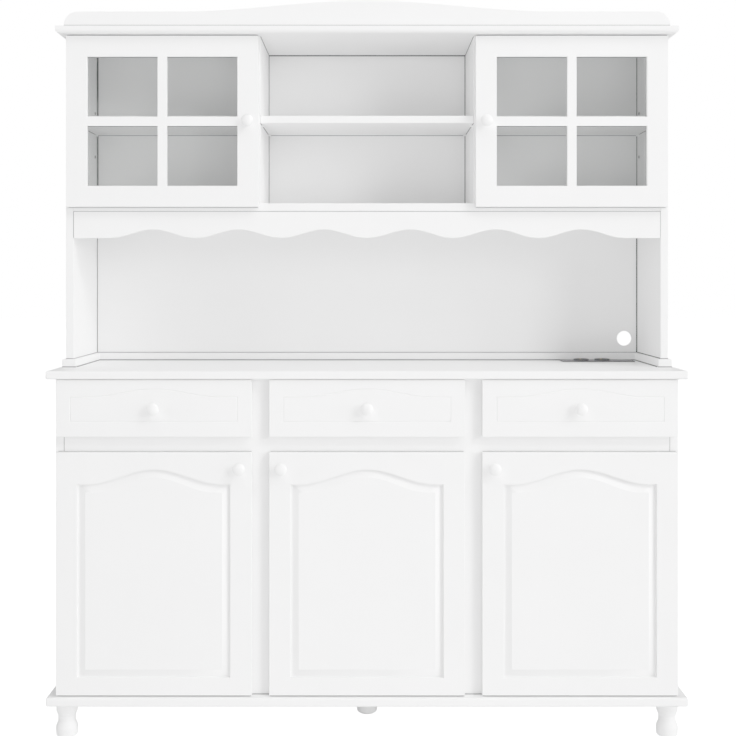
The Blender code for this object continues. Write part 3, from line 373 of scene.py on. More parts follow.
def painted_wood(name, grain, seed):
    """Sprayed satin white: cloudy tone, a fine stipple, and the board's grain showing faintly."""
    tree = Tree(name, {"Specular IOR Level": PAINT_SHEEN})
    scale = [GRAIN_FINE] * 3
    scale["XYZ".index(grain)] = GRAIN_LONG
    along = tree.stretched(scale, (seed, 2 * seed, 3 * seed))
    moved = tree.stretched((1.0, 1.0, 1.0), (seed, -seed, 2 * seed))
    clouds = tree.noise(5.0, 3.0, 0.55, moved)
    flecks = tree.noise(420.0, 3.0, 0.6, moved)
    fibres = tree.noise(1.0, 4.0, 0.62, along, 0.3)
    tone = tree.maths("ADD", tree.spread(clouds, 0.0, 0.6), tree.spread(flecks, 0.0, 0.22))
    tone = tree.maths("ADD", tone, tree.spread(fibres, 0.0, 0.18))
    gloss = tree.spread(tree.noise(38.0, 3.0, 0.6, moved), 0.36, 0.46)
    gloss = tree.maths("ADD", gloss, tree.spread(flecks, 0.0, 0.06))
    normal = tree.bumped(tree.noise(330.0, 2.0, 0.5, moved), 0.35, STIPPLE_DEPTH)
    normal = tree.bumped(fibres, 0.3, STIPPLE_DEPTH, normal)
    normal = tree.bumped(tree.noise(24.0, 1.0, 0.4, moved), 0.25, SPRAY_WAVE_DEPTH, normal)
    return tree.finish(tone, PAINT_SHADES, gloss, normal)


def lining():
    """The plainer white melamine inside the cupboards and drawers, with a fine pressed texture."""
    tree = Tree("white_lining")
    moved = tree.stretched((1.0, 1.0, 1.0), LINING_OFFSET)
    specks = tree.noise(700.0, 2.0, 0.7, moved)
    clouds = tree.noise(7.0, 2.0, 0.5, moved)
    tone = tree.maths("ADD", tree.spread(clouds, 0.0, 0.5), tree.spread(specks, 0.0, 0.5))
    gloss = tree.spread(tree.noise(60.0, 2.0, 0.5, moved), 0.48, 0.6)
    normal = tree.bumped(tree.noise(900.0, 2.0, 0.6, moved), 0.5, PRESSED_DEPTH)
    normal = tree.bumped(tree.noise(14.0, 1.0, 0.4, moved), 0.2, LINING_WAVE_DEPTH, normal)
    return tree.finish(tone, LINING_SHADES, gloss, normal)


def knob_paint():
    """A glossier white dipped finish on turned wood, clouded and finely stippled."""
    tree = Tree("knob_paint")
    clouds = tree.noise(90.0, 3.0, 0.5)
    gloss = tree.spread(tree.noise(260.0, 2.0, 0.5), 0.32, 0.46)
    normal = tree.bumped(tree.noise(520.0, 2.0, 0.5), 0.3, PRESSED_DEPTH)
    return tree.finish(tree.spread(clouds), KNOB_SHADES, gloss, normal)


def hinge_steel():
    """Nickel-plated pressed steel: fine brushing, and soft clouds in its tone and gloss."""
    tree = Tree("hinge_steel", METAL)
    brushed = tree.noise(1.0, 4.0, 0.6, tree.stretched((2600.0, 90.0, 2600.0)))
    clouds = tree.noise(120.0, 3.0, 0.6)
    gloss = tree.maths("ADD", tree.spread(brushed, 0.18, 0.3), tree.spread(clouds, 0.0, 0.1))
    normal = tree.bumped(brushed, 0.25, BRUSHED_DEPTH)
    return tree.finish(tree.spread(clouds), STEEL_SHADES, gloss, normal)


def black_plastic():
    """Moulded black plastic with a fine spark texture and dust in its tone."""
    tree = Tree("black_plastic")
    texture = tree.noise(1500.0, 2.0, 0.6)
    uneven_tone = tree.noise(140.0, 4.0, 0.7)
    gloss = tree.maths("ADD", tree.spread(texture, 0.34, 0.46), tree.spread(uneven_tone, 0.0, 0.08))
    normal = tree.bumped(texture, 0.5, STIPPLE_DEPTH)
    return tree.finish(tree.spread(uneven_tone), PLASTIC_SHADES, gloss, normal)


def brass_contact():
    """Brass of the earth contacts, clouded with tarnish."""
    tree = Tree("contact_brass", METAL)
    clouds = tree.noise(300.0, 3.0, 0.6)
    gloss, normal = tree.spread(clouds, 0.25, 0.42), tree.bumped(clouds, 0.2, BRUSHED_DEPTH)
    return tree.finish(tree.spread(clouds), BRASS_SHADES, gloss, normal)


def felt():
    """Pressed grey felt under the feet."""
    tree = Tree("glide_felt")
    fibres = tree.noise(900.0, 4.0, 0.75, None, 0.6)
    gloss, normal = tree.spread(fibres, 0.85, 0.98), tree.bumped(fibres, 0.8, SOFT_DEPTH)
    return tree.finish(tree.spread(fibres), FELT_SHADES, gloss, normal)


def joint_shadow():
    """Painted shade for the dark beads at joints and gaps: dark grey, uneven along its length."""
    tree = Tree("joint_shadow", {"Specular IOR Level": DULL_SHEEN})
    uneven_tone = tree.noise(45.0, 4.0, 0.7)
    gloss, normal = tree.spread(uneven_tone, 0.8, 0.95), tree.bumped(uneven_tone, 0.3, SHADE_BUMP_DEPTH)
    return tree.finish(tree.spread(uneven_tone), SHADOW_SHADES, gloss, normal)


def pane_glass():
    """Thin clear glass: slightly grey and smeared, with a mirror sheen that grows at grazing angles."""
    tree = Tree("pane_glass", {"Base Color": GLASS_SHEEN, **METAL})
    smears = tree.noise(9.0, 4.0, 0.6, None, 0.8)
    waves = tree.noise(3.0, 1.0, 0.4)
    tree.link(tree.spread(smears, 0.02, 0.07), tree.shader.inputs["Roughness"])
    tree.link(tree.bumped(waves, 0.08, GLASS_WAVE_DEPTH), tree.shader.inputs["Normal"])
    clear = tree.node("ShaderNodeBsdfTransparent", {"Color": GLASS_CLEAR})
    slant = tree.node("ShaderNodeLayerWeight", {"Blend": 0.5})
    grazing = tree.maths("MULTIPLY", tree.maths("POWER", slant.outputs["Facing"], 5.0), 1.0 - GLASS_MIRROR)
    mixed = tree.node("ShaderNodeMixShader")
    tree.link(tree.maths("ADD", grazing, GLASS_MIRROR), mixed.inputs["Fac"])
    tree.link(clear.outputs["BSDF"], mixed.inputs[1])
    tree.link(tree.shader.outputs["BSDF"], mixed.inputs[2])
    tree.link(mixed.outputs["Shader"], tree.output.inputs["Surface"])
    return tree.material


def floor_white():
    """The studio floor, which glows for the camera alone, to look as white as the backdrop."""
    tree = Tree("studio_floor", {"Specular IOR Level": DULL_SHEEN})
    clouds = tree.noise(0.8, 2.0, 0.5)
    glow = tree.node("ShaderNodeEmission")
    path = tree.node("ShaderNodeLightPath")
    tree.link(tree.maths("MULTIPLY", path.outputs["Is Camera Ray"], FLOOR_GLOW), glow.inputs["Strength"])
    both = tree.node("ShaderNodeAddShader")
    tree.link(tree.shader.outputs["BSDF"], both.inputs[0])
    tree.link(glow.outputs["Emission"], both.inputs[1])
    tree.link(both.outputs["Shader"], tree.output.inputs["Surface"])
    grit = tree.bumped(tree.noise(200.0), 0.1, SOFT_DEPTH)
    return tree.finish(tree.spread(clouds), FLOOR_SHADES, tree.spread(clouds, 0.75, 0.85), grit)


# Dressing of the pieces
def placed(name, data):
    """Puts a new object with this data in the scene."""
    item = bpy.data.objects.new(name, data)
    bpy.context.scene.collection.objects.link(item)
    return item


def smoothing_nodes():
    """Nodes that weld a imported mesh's split faces and leave only its real edges sharp."""
    group = bpy.data.node_groups.new("smooth_by_angle", "GeometryNodeTree")
    for way in ("INPUT", "OUTPUT"):
        group.interface.new_socket("Geometry", in_out=way, socket_type="NodeSocketGeometry")
    nodes, links = group.nodes, group.links
    start = nodes.new("NodeGroupInput")
    end = nodes.new("NodeGroupOutput")
    plain = nodes.new("GeometryNodeRemoveAttribute")
    plain.inputs["Name"].default_value = "custom_normal"
    weld = nodes.new("GeometryNodeMergeByDistance")
    weld.inputs["Distance"].default_value = WELD_DISTANCE
    faces = nodes.new("GeometryNodeSetShadeSmooth")
    edges = nodes.new("GeometryNodeSetShadeSmooth")
    edges.domain = "EDGE"
    edges.inputs["Shade Smooth"].default_value = False
    angle = nodes.new("GeometryNodeInputMeshEdgeAngle")
    sharp = nodes.new("FunctionNodeCompare")
    sharp.data_type = "FLOAT"
    sharp.operation = "GREATER_THAN"
    sharp.inputs["B"].default_value = SHARP_ANGLE
    links.new(angle.outputs["Unsigned Angle"], sharp.inputs["A"])
    links.new(sharp.outputs["Result"], edges.inputs["Selection"])
    chain = (start, plain, weld, faces, edges, end)
    for earlier, later in zip(chain, chain[1:]):
        links.new(earlier.outputs["Geometry"], later.inputs["Geometry"])
    return group


def smoothed(item):
    """Gives an object smooth shading with sharp real edges, and even normals."""
    item.modifiers.new("smooth_by_angle", "NODES").node_group = GROUP
    weighted = item.modifiers.new("even_normals", "WEIGHTED_NORMAL")
    weighted.keep_sharp = True
    weighted.weight = 80


def packed_material(name):
    """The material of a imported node."""
    if name.endswith("_glass"):
        return GLASS
    if "hinge" in name:
        return STEEL
    if name == "outlet_unit":
        return PLASTIC
    if name.endswith("_knob"):
        return KNOB
    if name.endswith("_box") or name in LINED:
        return LINING
    return PAINTS["Z" if any(part in name for part in UPRIGHT) else "X"]


# Profiles and outlines
def eased(start, end, steps):
    """Points on a smooth S from one radius and height to another, without the first."""
    points = []
    for step in range(1, steps + 1):
        share = step / steps
        ease = (1 - math.cos(math.pi * share)) / 2
        points.append((start[0] + (end[0] - start[0]) * ease, start[1] + (end[1] - start[1]) * share))
    return points


def arc(centre, radius_x, radius_y, start, end, steps):
    """Points on an ellipse's arc between two angles in degrees."""
    points = []
    for step in range(steps + 1):
        angle = math.radians(start + (end - start) * step / steps)
        points.append((centre[0] + radius_x * math.cos(angle), centre[1] + radius_y * math.sin(angle)))
    return points


def closed_ring(half, low, high, top):
    """Foot and sides around the points of a top edge, counterclockwise from the lower left."""
    ring = [(half * (2 * s / FLAT_STEPS - 1), low) for s in range(FLAT_STEPS)]
    ring += [(half, low + (high - low) * s / FLAT_STEPS) for s in range(FLAT_STEPS + 1)]
    return ring + top + [(-half, high + (low - high) * s / FLAT_STEPS) for s in range(FLAT_STEPS)]


def arched_ring(half, low, shoulder, arch_half, rise):
    """A rectangle whose top edge swells into a cosine arch."""
    top = []
    for step in range(ARCH_STEPS + 1):
        x = arch_half * (1 - 2 * step / ARCH_STEPS)
        top.append((x, shoulder + rise * (1 + math.cos(math.pi * x / arch_half)) / 2))
    return closed_ring(half, low, shoulder, top)


def arched_outline(half, height, side, bottom, top, shoulder, rise):
    """A function that gives the arch inside a front, by its margins, for any step inwards."""

    def outline(inwards):
        foot, eaves = bottom + inwards, height - top - inwards
        return arched_ring(half - side - inwards, foot, eaves, half - side - shoulder - inwards, rise)

    return outline


def board_ring(half, low, high, pattern):
    """A plain rectangle with as many points as an arched ring, each across from its own."""
    widest = max(x for x, _ in pattern)
    first = 2 * FLAT_STEPS + 1
    top = [(x / widest * half, high) for x, _ in pattern[first:first + ARCH_STEPS + 1]]
    return closed_ring(half, low, high, top)


# Mesh helpers
def as_mesh(name, shape):
    """The mesh of a finished shape."""
    mesh = bpy.data.meshes.new(name)
    shape.to_mesh(mesh)
    shape.free()
    return mesh


def band(shape, lower, upper):
    """Faces between two rings of equally many points, or between a ring and a single point."""
    count = max(len(lower), len(upper))
    for index in range(count):
        pair = (index, (index + 1) % count)
        corners = [lower[i % len(lower)] for i in pair] + [upper[i % len(upper)] for i in pair[::-1]]
        shape.faces.new(tuple(dict.fromkeys(corners)))


def skin(shape, rings):
    """Faces between rings of equally many points, closed at the last; returns the first ring's points."""
    drawn = [[shape.verts.new(point) for point in ring] for ring in rings]
    for lower, upper in zip(drawn, drawn[1:]):
        band(shape, lower, upper)
    shape.faces.new(drawn[-1])
    return drawn[0]


def turn(shape, profile, steps, at):
    """A closed turned form from radius and height pairs; at() says where radius, angle and height are."""
    rings = []
    for radius, height in profile:
        if radius <= 0.0:
            rings.append([shape.verts.new(at(0.0, 0.0, height))])
        else:
            rings.append([shape.verts.new(at(radius, math.tau * s / steps, height)) for s in range(steps)])
    for lower, upper in zip(rings, rings[1:]):
        band(shape, lower, upper)


def around(centre, axis):
    """Where a point of a turned form is, for a turning whose height runs along an axis such as "+Z"."""
    sign = 1.0 if axis[0] == "+" else -1.0
    x, y, z = centre

    def at(radius, angle, height):
        across, up = radius * math.cos(angle), radius * math.sin(angle)
        if axis[1] == "Z":
            return x + across, y + up, z + sign * height
        if axis[1] == "Y":
            return x + across, y + sign * height, z + up
        return x + sign * height, y + across, z + up

    return at


def absorb(shape, part):
    """Adds a finished part to a shape."""
    mesh = as_mesh("part", part)
    shape.from_mesh(mesh)
    bpy.data.meshes.remove(mesh)


def rounded_block(shape, low, high, radius, segments=3, upright=None, corner=0.0):
    """A block with every edge rounded, and the edges along one axis rounded more if asked."""
    low, high = [min(a, b) for a, b in zip(low, high)], [max(a, b) for a, b in zip(low, high)]
    block = bmesh.new()
    for vert in bmesh.ops.create_cube(block, size=1.0)["verts"]:
        for axis in range(3):
            vert.co[axis] = low[axis] + (vert.co[axis] + 0.5) * (high[axis] - low[axis])
    if upright is not None:
        axis = "XYZ".index(upright)
        along = [e for e in block.edges if abs(e.verts[0].co[axis] - e.verts[1].co[axis]) > WELD_DISTANCE]
        bmesh.ops.bevel(block, geom=along, offset=corner, segments=6, profile=0.5, affect="EDGES")
    sharp = [edge for edge in block.edges if edge.calc_face_angle(0.0) > SHARP_ANGLE]
    bmesh.ops.bevel(block, geom=sharp, offset=radius, segments=segments, profile=0.5, affect="EDGES")
    absorb(shape, block)


def screw_head(shape, centre, axis, radius, height):
    """A domed screw head with a cross-shaped recess."""
    place = around(centre, axis)
    skirt_radius, skirt_height = SCREW_SKIRT
    profile = [(0.0, skirt_height * height), (skirt_radius * radius, skirt_height * height)]
    profile += arc((0.0, 0.0), radius, height, 0, SCREW_DOME_END, 6)
    recess = [(width * radius, rise * height) for width, rise in SCREW_RECESS]

    def at(turn_radius, angle, turn_height):
        if (turn_radius, turn_height) in recess and turn_radius > 0.0:
            arms = math.cos(2 * angle) ** SCREW_CROSS_POWER
            turn_radius *= SCREW_CROSS_SHARE + (1 - SCREW_CROSS_SHARE) * arms
        return place(turn_radius, angle, turn_height)

    turn(shape, profile + recess, SCREW_STEPS, at)


def piece(name, shape, material, body, slot, *nodes):
    """Adds a shape to the scene, smoothed, riding on a body, and standing for the nodes it replaces."""
    bmesh.ops.recalc_face_normals(shape, faces=shape.faces)
    mesh = as_mesh(name, shape)
    mesh.materials.append(material)
    for face in mesh.polygons:
        face.use_smooth = True
    item = placed(name, mesh)
    smoothed(item)
    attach(item, body)
    if nodes:
        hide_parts(*nodes)


# Feet and knobs
def foot_profile():
    """From the top: a square-shouldered collar, a hollow neck and a low bulge over the glide."""
    top, lip, cove = FOOT_HEIGHT, FOOT_LIP, FOOT_COVE
    profile = [(0.0, top), (FOOT_COLLAR - lip, top)]
    profile += arc((FOOT_COLLAR - lip, top - lip), lip, lip, 90, 0, 4)[1:]
    profile += [(FOOT_COLLAR, FOOT_COLLAR_END + FOOT_SHOULDER)]
    profile += arc((FOOT_COLLAR - cove, FOOT_COLLAR_END + cove), cove, cove, 0, -55, 8)
    profile += eased(profile[-1], (FOOT_NECK, FOOT_NECK_HEIGHT), 8)
    profile += [(FOOT_NECK, FOOT_NECK_END)]
    profile += eased(profile[-1], (FOOT_BULGE, FOOT_BULGE_TOP), 14)
    profile += eased(profile[-1], (FOOT_BULGE - FOOT_TAPER, FOOT_BULGE_FOOT), 3)
    toe = (FOOT_TOE, FOOT_BULGE_FOOT)
    profile += arc(toe, profile[-1][0] - FOOT_TOE, FOOT_BULGE_FOOT - GLIDE_HEIGHT, 0, -90, 12)[1:]
    return profile + [(0.0, GLIDE_HEIGHT)]


def make_feet():
    """Turned feet, each on a felt glide."""
    for name in (n for n in NODES if n.startswith("foot_")):
        low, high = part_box(name)
        middle = ((low[0] + high[0]) / 2, (low[1] + high[1]) / 2, 0.0)
        shape = bmesh.new()
        turn(shape, foot_profile(), FOOT_STEPS, around(middle, "+Z"))
        piece(f"{name}_turned", shape, PAINTS["Z"], "cabinet", "white_paint", name)
        shape = bmesh.new()
        edge, top = FOOT_TOE - GLIDE_INSET, GLIDE_HEIGHT + GLIDE_LAP
        glide = [(0.0, 0.0), (edge - GLIDE_ROUND, 0.0), (edge, GLIDE_EDGE), (edge, top), (0.0, top)]
        turn(shape, glide, FOOT_STEPS, around(middle, "+Z"))
        piece(f"{name}_glide", shape, FELT, "cabinet", "white_lining")


def knob_profile():
    """From the door outwards: a rounded base, a hollow neck and a domed head."""
    length, edge = KNOB_LENGTH, KNOB_BASE_ROUND
    rim = KNOB_RIM_SHARE * length
    profile = [(0.0, 0.0), (KNOB_BASE, 0.0), (KNOB_BASE, KNOB_BASE_HEIGHT)]
    profile += arc((KNOB_BASE - edge, KNOB_BASE_HEIGHT + edge), edge, edge, 0, 90, 4)
    profile += eased(profile[-1], (KNOB_NECK, KNOB_NECK_SHARE * length), 7)
    profile += eased(profile[-1], (KNOB_RADIUS, rim), 12)
    return profile + arc((0.0, rim), KNOB_RADIUS, length - rim, 0, 90, 16)[1:-1] + [(0.0, length)]


def make_knobs():
    """Turned knobs, each with the head of the screw that holds it where that is free to see."""
    for name in (n for n in NODES if n.endswith("_knob")):
        low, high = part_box(name)
        middle = ((low[0] + high[0]) / 2, high[1], (low[2] + high[2]) / 2)
        body = name[: -len("_knob")]
        shape = bmesh.new()
        turn(shape, knob_profile(), KNOB_STEPS, around(middle, "-Y"))
        piece(f"{name}_turned", shape, KNOB, body, "white_knob", name)
        if not body.startswith("drawer"):
            shape = bmesh.new()
            back = (middle[0], middle[1] + LEAF_THICKNESS + KNOB_SCREW_LIFT, middle[2])
            screw_head(shape, back, "+Y", *KNOB_SCREW)
            piece(f"{name}_screw", shape, STEEL, body, "hinge_steel")


# Doors and drawer fronts
def ring_edges(shape, ring):
    """The edges between a closed ring's neighbouring points."""
    return [shape.edges.get((a, b)) for a, b in zip(ring, ring[1:] + ring[:1])]


def leaf_shape(low, high, outline, section, cups=()):
    """A board with rounded edges, a routed front and, in its back, the hollows of its hinge cups."""
    half, height = (high[0] - low[0]) / 2, high[2] - low[2]
    centre = (low[0] + high[0]) / 2
    pattern = outline(0.0)

    def level(inset, y):
        ring = board_ring(half - inset, inset, height - inset, pattern)
        return [(centre + x, y, low[2] + z) for x, z in ring]

    rings = []
    for x, y in arc((BACK_ROUND, -BACK_ROUND), BACK_ROUND, BACK_ROUND, 90, 180, 3):
        rings.append(level(x, high[1] + y))
    for x, y in arc((FRONT_ROUND, FRONT_ROUND), FRONT_ROUND, FRONT_ROUND, 180, 270, 5):
        rings.append(level(x, low[1] + y))
    for inwards, depth in section:
        rings.append([(centre + x, low[1] + depth, low[2] + z) for x, z in outline(inwards)])
    shape = bmesh.new()
    edges = ring_edges(shape, skin(shape, rings))
    turns = [math.tau * step / CUP_STEPS for step in range(CUP_STEPS)]
    for x, z in cups:
        at = around((x, high[1], z), "-Y")
        circles = [[at(CUP_RADIUS, angle, depth) for angle in turns] for depth in (0.0, CUP_DEPTH)]
        edges += ring_edges(shape, skin(shape, circles))
    bmesh.ops.triangle_fill(shape, use_beauty=True, use_dissolve=False, edges=edges)
    return shape


def panel_section():
    """Steps inwards and into the wood: rounded lip, quirk, long bevel, and the small step at the field."""
    section = arc((-LIP_ROUND, LIP_ROUND), LIP_ROUND, LIP_ROUND, -90, 0, 4)
    inset, rise = QUIRK_ROUND
    section += [(0.0, PANEL_SINK - rise), (inset, PANEL_SINK), (QUIRK_WIDTH, PANEL_SINK)]
    for step in range(1, BEVEL_STEPS + 1):
        share = step / BEVEL_STEPS
        rise = (PANEL_SINK - PANEL_STEP) * share
        section.append((QUIRK_WIDTH + BEVEL_WIDTH * share, PANEL_SINK - rise))
    end = QUIRK_WIDTH + BEVEL_WIDTH
    return section + [(end + reach, depth) for reach, depth in FIELD_EDGE]


def hinge_heights(door):
    """The middle heights of a door's two hinges."""
    boxes = [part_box(f"{door}_hinge_{place}") for place in ("lower", "upper")]
    return [(low[2] + high[2]) / 2 for low, high in boxes]


def make_leaves():
    """Base door leaves with raised arched panels, and the hinge cups of all the doors."""
    for side, name in zip((-1, 1, 1), BASE_DOORS):
        low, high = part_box(f"{name}_leaf")
        half, height = (high[0] - low[0]) / 2, high[2] - low[2]
        high = (high[0], high[1], high[2] - DOOR_TOP_TRIM)
        outline = arched_outline(half, height, *DOOR_PANEL)
        edge_x = low[0] if side < 0 else high[0]
        cup_x = edge_x - side * CUP_FROM_EDGE
        heights = hinge_heights(name)
        shape = leaf_shape(low, high, outline, panel_section(), [(cup_x, z) for z in heights])
        piece(f"{name}_leaf_routed", shape, PAINTS["Z"], name, "white_paint", f"{name}_leaf")
        make_cups(name, cup_x, high[1], heights)
    for side, name in zip((-1, 1), GLAZED_DOORS):
        low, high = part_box(f"{name}_frame")
        edge_x = low[0] if side < 0 else high[0]
        make_cups(name, edge_x - side * CUP_FROM_EDGE, high[1], hinge_heights(name))


def make_drawer_fronts():
    """Drawer fronts with a fine arched groove."""
    section = [(across * GROOVE_HALF, depth * GROOVE_DEPTH) for across, depth in GROOVE_SHARES]
    for name in ("drawer_1", "drawer_2", "drawer_3"):
        low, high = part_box(f"{name}_front")
        high = (high[0], high[1], high[2] + DRAWER_TOP_EXTRA)
        half, height = (high[0] - low[0]) / 2, high[2] - low[2] - DRAWER_TOP_EXTRA
        outline = arched_outline(half, height, *DRAWER_GROOVE)
        shape = leaf_shape(low, high, outline, section)
        piece(f"{name}_front_routed", shape, PAINTS["X"], name, "white_paint", f"{name}_front")


# Hinges
def make_cups(door, x, back_y, heights):
    """The steel cups pressed into a door's back, each with its oval flange and two screws."""
    for place, z in zip(("lower", "upper"), heights):
        shape = bmesh.new()
        spot = around((x, back_y, z), "+Y")

        def at(radius, angle, height):
            if radius > CUP_OVAL_FROM:
                wide, tall = radius, radius + CUP_OVAL_EXTRA
                radius = wide * tall / math.hypot(tall * math.cos(angle), wide * math.sin(angle))
            return spot(radius, angle, height)

        turn(shape, CUP_WALL + CUP_FLANGE + CUP_LIP, CUP_STEPS, at)
        for offset in (-CUP_SCREW_OFFSET, CUP_SCREW_OFFSET):
            screw_head(shape, (x, back_y + CUP_SCREW_LIFT, z + offset), "+Y", *CUP_SCREW)
        piece(f"{door}_cup_{place}", shape, STEEL, door, "hinge_steel")


def make_hinges():
    """Each hinge's plate with two screws, and its pressed arm with a ridge and an adjusting screw."""
    for name in (n for n in NODES if "_hinge_" in n):
        low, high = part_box(name)
        side = -1.0 if low[0] < 0.0 else 1.0
        face = low[0] if side < 0 else high[0]
        z = (low[2] + high[2]) / 2
        plate_front = high[1] - PLATE_DEPTH
        plate_middle = plate_front + PLATE_DEPTH / 2

        def across(reach):
            return face - side * reach

        shape = bmesh.new()
        foot = (across(0.0), plate_front, z - PLATE_HALF)
        top = (across(PLATE_PROUD), high[1], z + PLATE_HALF)
        rounded_block(shape, foot, top, PLATE_ROUND, 2, "X", PLATE_CORNER)
        for start, end, back_gap, half, edge in ARM_PARTS:
            foot = (across(start), low[1] + ARM_FRONT_GAP, z - half)
            top = (across(end), high[1] - back_gap, z + half)
            rounded_block(shape, foot, top, edge)
        axis = "-X" if side > 0 else "+X"
        for offset in (-PLATE_SCREW_OFFSET, PLATE_SCREW_OFFSET):
            screw_head(shape, (across(PLATE_PROUD), plate_middle, z + offset), axis, *PLATE_SCREW)
        screw_head(shape, (across(RIDGE_TOP), high[1] - ARM_SCREW_INSET, z), axis, *ARM_SCREW)
        piece(f"{name}_pressed", shape, STEEL, "cabinet", "hinge_steel", name)


# Outlet
def socket_profile(floor, top):
    """A socket from its middle: sunk under the flange, a rounded outer rim, and back in to its floor."""
    profile = [(0.0, floor - RIM_SUNK), (SOCKET_RADIUS, floor - RIM_SUNK)]
    outer, inner = RIM_OUTER_ROUND, RIM_INNER_ROUND
    profile += arc((SOCKET_RADIUS - outer, top - outer), outer, outer, 0, 90, 5)
    profile += arc((SOCKET_RADIUS - RIM_WIDTH, top - inner), inner, inner, 90, 180, 4)
    return profile + [(SOCKET_RADIUS - RIM_FOOT, floor + SOCKET_FLOOR), (0.0, floor + SOCKET_FLOOR)]


def make_outlet():
    """The sunk outlet: a rounded flange, its body, and two round sockets with earth contacts."""
    low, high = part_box("outlet_unit")
    plate_low = WORKTOP_TOP + OUTLET_LIFT
    plate_high = plate_low + OUTLET_PLATE
    shape, contacts = bmesh.new(), bmesh.new()
    foot, top = (low[0], low[1], plate_low), (high[0], high[1], plate_high)
    rounded_block(shape, foot, top, OUTLET_ROUND, 3, "Z", OUTLET_CORNER)
    foot = (low[0] + BODY_INSET, low[1] + BODY_INSET, low[2])
    top = (high[0] - BODY_INSET, high[1] - BODY_INSET, plate_low + BODY_LAP)
    rounded_block(shape, foot, top, BODY_ROUND, 3, "Z", BODY_CORNER)
    rim = socket_profile(plate_high, high[2])
    eye = [(radius, plate_high + height) for radius, height in EYE_PROFILE]
    middle_y = (low[1] + high[1]) / 2
    for x in SOCKET_PLACES:
        turn(shape, rim, SOCKET_STEPS, around((x, middle_y, 0.0), "+Z"))
        for offset in (-EYE_OFFSET, EYE_OFFSET):
            turn(shape, eye, EYE_STEPS, around((x + offset, middle_y, 0.0), "+Z"))
        for direction in (-1.0, 1.0):
            near = middle_y + direction * (SOCKET_RADIUS - CONTACT_NEAR)
            far = middle_y + direction * (SOCKET_RADIUS - CONTACT_FAR)
            foot = (x - CONTACT_HALF, near, plate_high)
            top = (x + CONTACT_HALF, far, high[2] - CONTACT_DROP)
            rounded_block(contacts, foot, top, CONTACT_ROUND, 2)
    piece("outlet_moulding", shape, PLASTIC, "cabinet", "black_plastic", "outlet_unit")
    piece("outlet_contacts", contacts, BRASS, "cabinet", "hinge_steel")


# Joint lines: dark beads of painted shade
def fillet(shape, start, end, legs):
    """A slender three-sided bead along an inside corner, with legs along two axes on its two faces."""
    reach = [[leg * (axis == other) for other in range(3)] for axis, leg in enumerate(legs) if leg]
    ends = []
    for point in (start, end):
        corner = Vector(point)
        points = [corner] + [corner + Vector(step) for step in reach]
        ends.append([shape.verts.new(place) for place in points])
    band(shape, *ends)
    shape.faces.new(ends[0])
    shape.faces.new(ends[1])


def strip(shape, across, face, heights, proud=STRIP_PROUD):
    """A flat chamfered bead over a butt joint: from side to side, let into a face, between two heights."""
    low = (across[0], face - proud, heights[0])
    high = (across[1], face + STRIP_SUNK, heights[1])
    rounded_block(shape, low, high, STRIP_CHAMFER, 1)


def niche_lines(shape):
    """Painted shade lines: the niche's back against its sides, and both on the plinth."""
    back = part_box("niche_back")[0][1] - LINE_LIFT
    foot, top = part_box("hutch_plinth")[1][2] + LINE_LIFT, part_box("valance")[1][2]
    for side, size in ((-1, LINE_MIDDLE), (1, LINE_HEAVY)):
        x = side * HUTCH_INSIDE
        fillet(shape, (x, back, foot), (x, back, top), (-side * size, -size, 0))
        start, end = (x, HUTCH_FRONT + NICHE_LINE_START, foot), (x, back, foot)
        fillet(shape, start, end, (-side * LINE_FINE, 0, size - NICHE_FOOT_TRIM))
    start, end = (-HUTCH_INSIDE, back, foot), (HUTCH_INSIDE, back, foot)
    fillet(shape, start, end, (0, -LINE_FINE, LINE_MIDDLE))


def bay_lines(shape):
    """Painted shade lines in the upper bays: the corners of the back, and shelves and ceiling against the
    boards around them.
    """
    front = HUTCH_FRONT + BAY_LINE_START
    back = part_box("hutch_back")[0][1] - LINE_LIFT
    floor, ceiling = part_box("hutch_bottom_board")[1][2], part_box("cornice")[0][2] - LINE_LIFT
    shelf_low, shelf_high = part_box("shelf_middle")
    under, over = shelf_low[2] - LINE_LIFT, shelf_high[2] + LINE_LIFT
    middle_edge = shelf_high[0] + SHELF_CLEARANCE - LINE_LIFT
    outer_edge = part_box("shelf_right")[0][0] - SHELF_CLEARANCE + LINE_LIFT
    bays = (
        (-HUTCH_INSIDE, -outer_edge, LINE_WIDE, LINE_BOLD),
        (-middle_edge, middle_edge, LINE_MIDDLE, LINE_BOLD),
        (outer_edge, HUTCH_INSIDE, LINE_BOLD, LINE_BOLD),
    )
    for left, right, left_size, right_size in bays:
        sides = ((left, 1, left_size), (right, -1, right_size))
        for x, way, size in sides:
            fillet(shape, (x, back, floor), (x, back, ceiling), (way * size, -size, 0))
        fillet(shape, (left, back, ceiling), (right, back, ceiling), (0, -CEILING_REACH, -LINE_BOLD))
        fillet(shape, (left, back, under), (right, back, under), (0, -SHELF_REACH, -LINE_FINE))
        for x, way, _ in sides:
            fillet(shape, (x, front, ceiling), (x, back, ceiling), (way * LINE_FINE, 0, -LINE_FINE))
        for x, way, _ in sides:
            fillet(shape, (x, front, under), (x, back, under), (way * LINE_FINE, 0, -LINE_FINE))
            fillet(shape, (x, front, over), (x, back, over), (way * LINE_THIN, 0, LINE_THIN))


def valance_lines(shape):
    """Painted shade lines: the valance against the board above it and the hutch's sides."""
    low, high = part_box("valance")
    heights = [high[2] + reach for reach in VALANCE_LINE]
    strip(shape, (-HUTCH_INSIDE, HUTCH_INSIDE), low[1], heights)
    for side, half in zip((-1, 1), VALANCE_SIDE_HALVES):
        x = side * HUTCH_INSIDE
        strip(shape, (x - half, x + half), low[1], (low[2] + VALANCE_FOOT_GAP, high[2]))


def crown_line(shape):
    """A painted shade line: the crown board on the cornice."""
    low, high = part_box("crown_board")
    end = high[0] - CROWN_END_GAP
    strip(shape, (-end, end), low[1], (low[2], low[2] + CROWN_LINE), CROWN_LINE_PROUD)


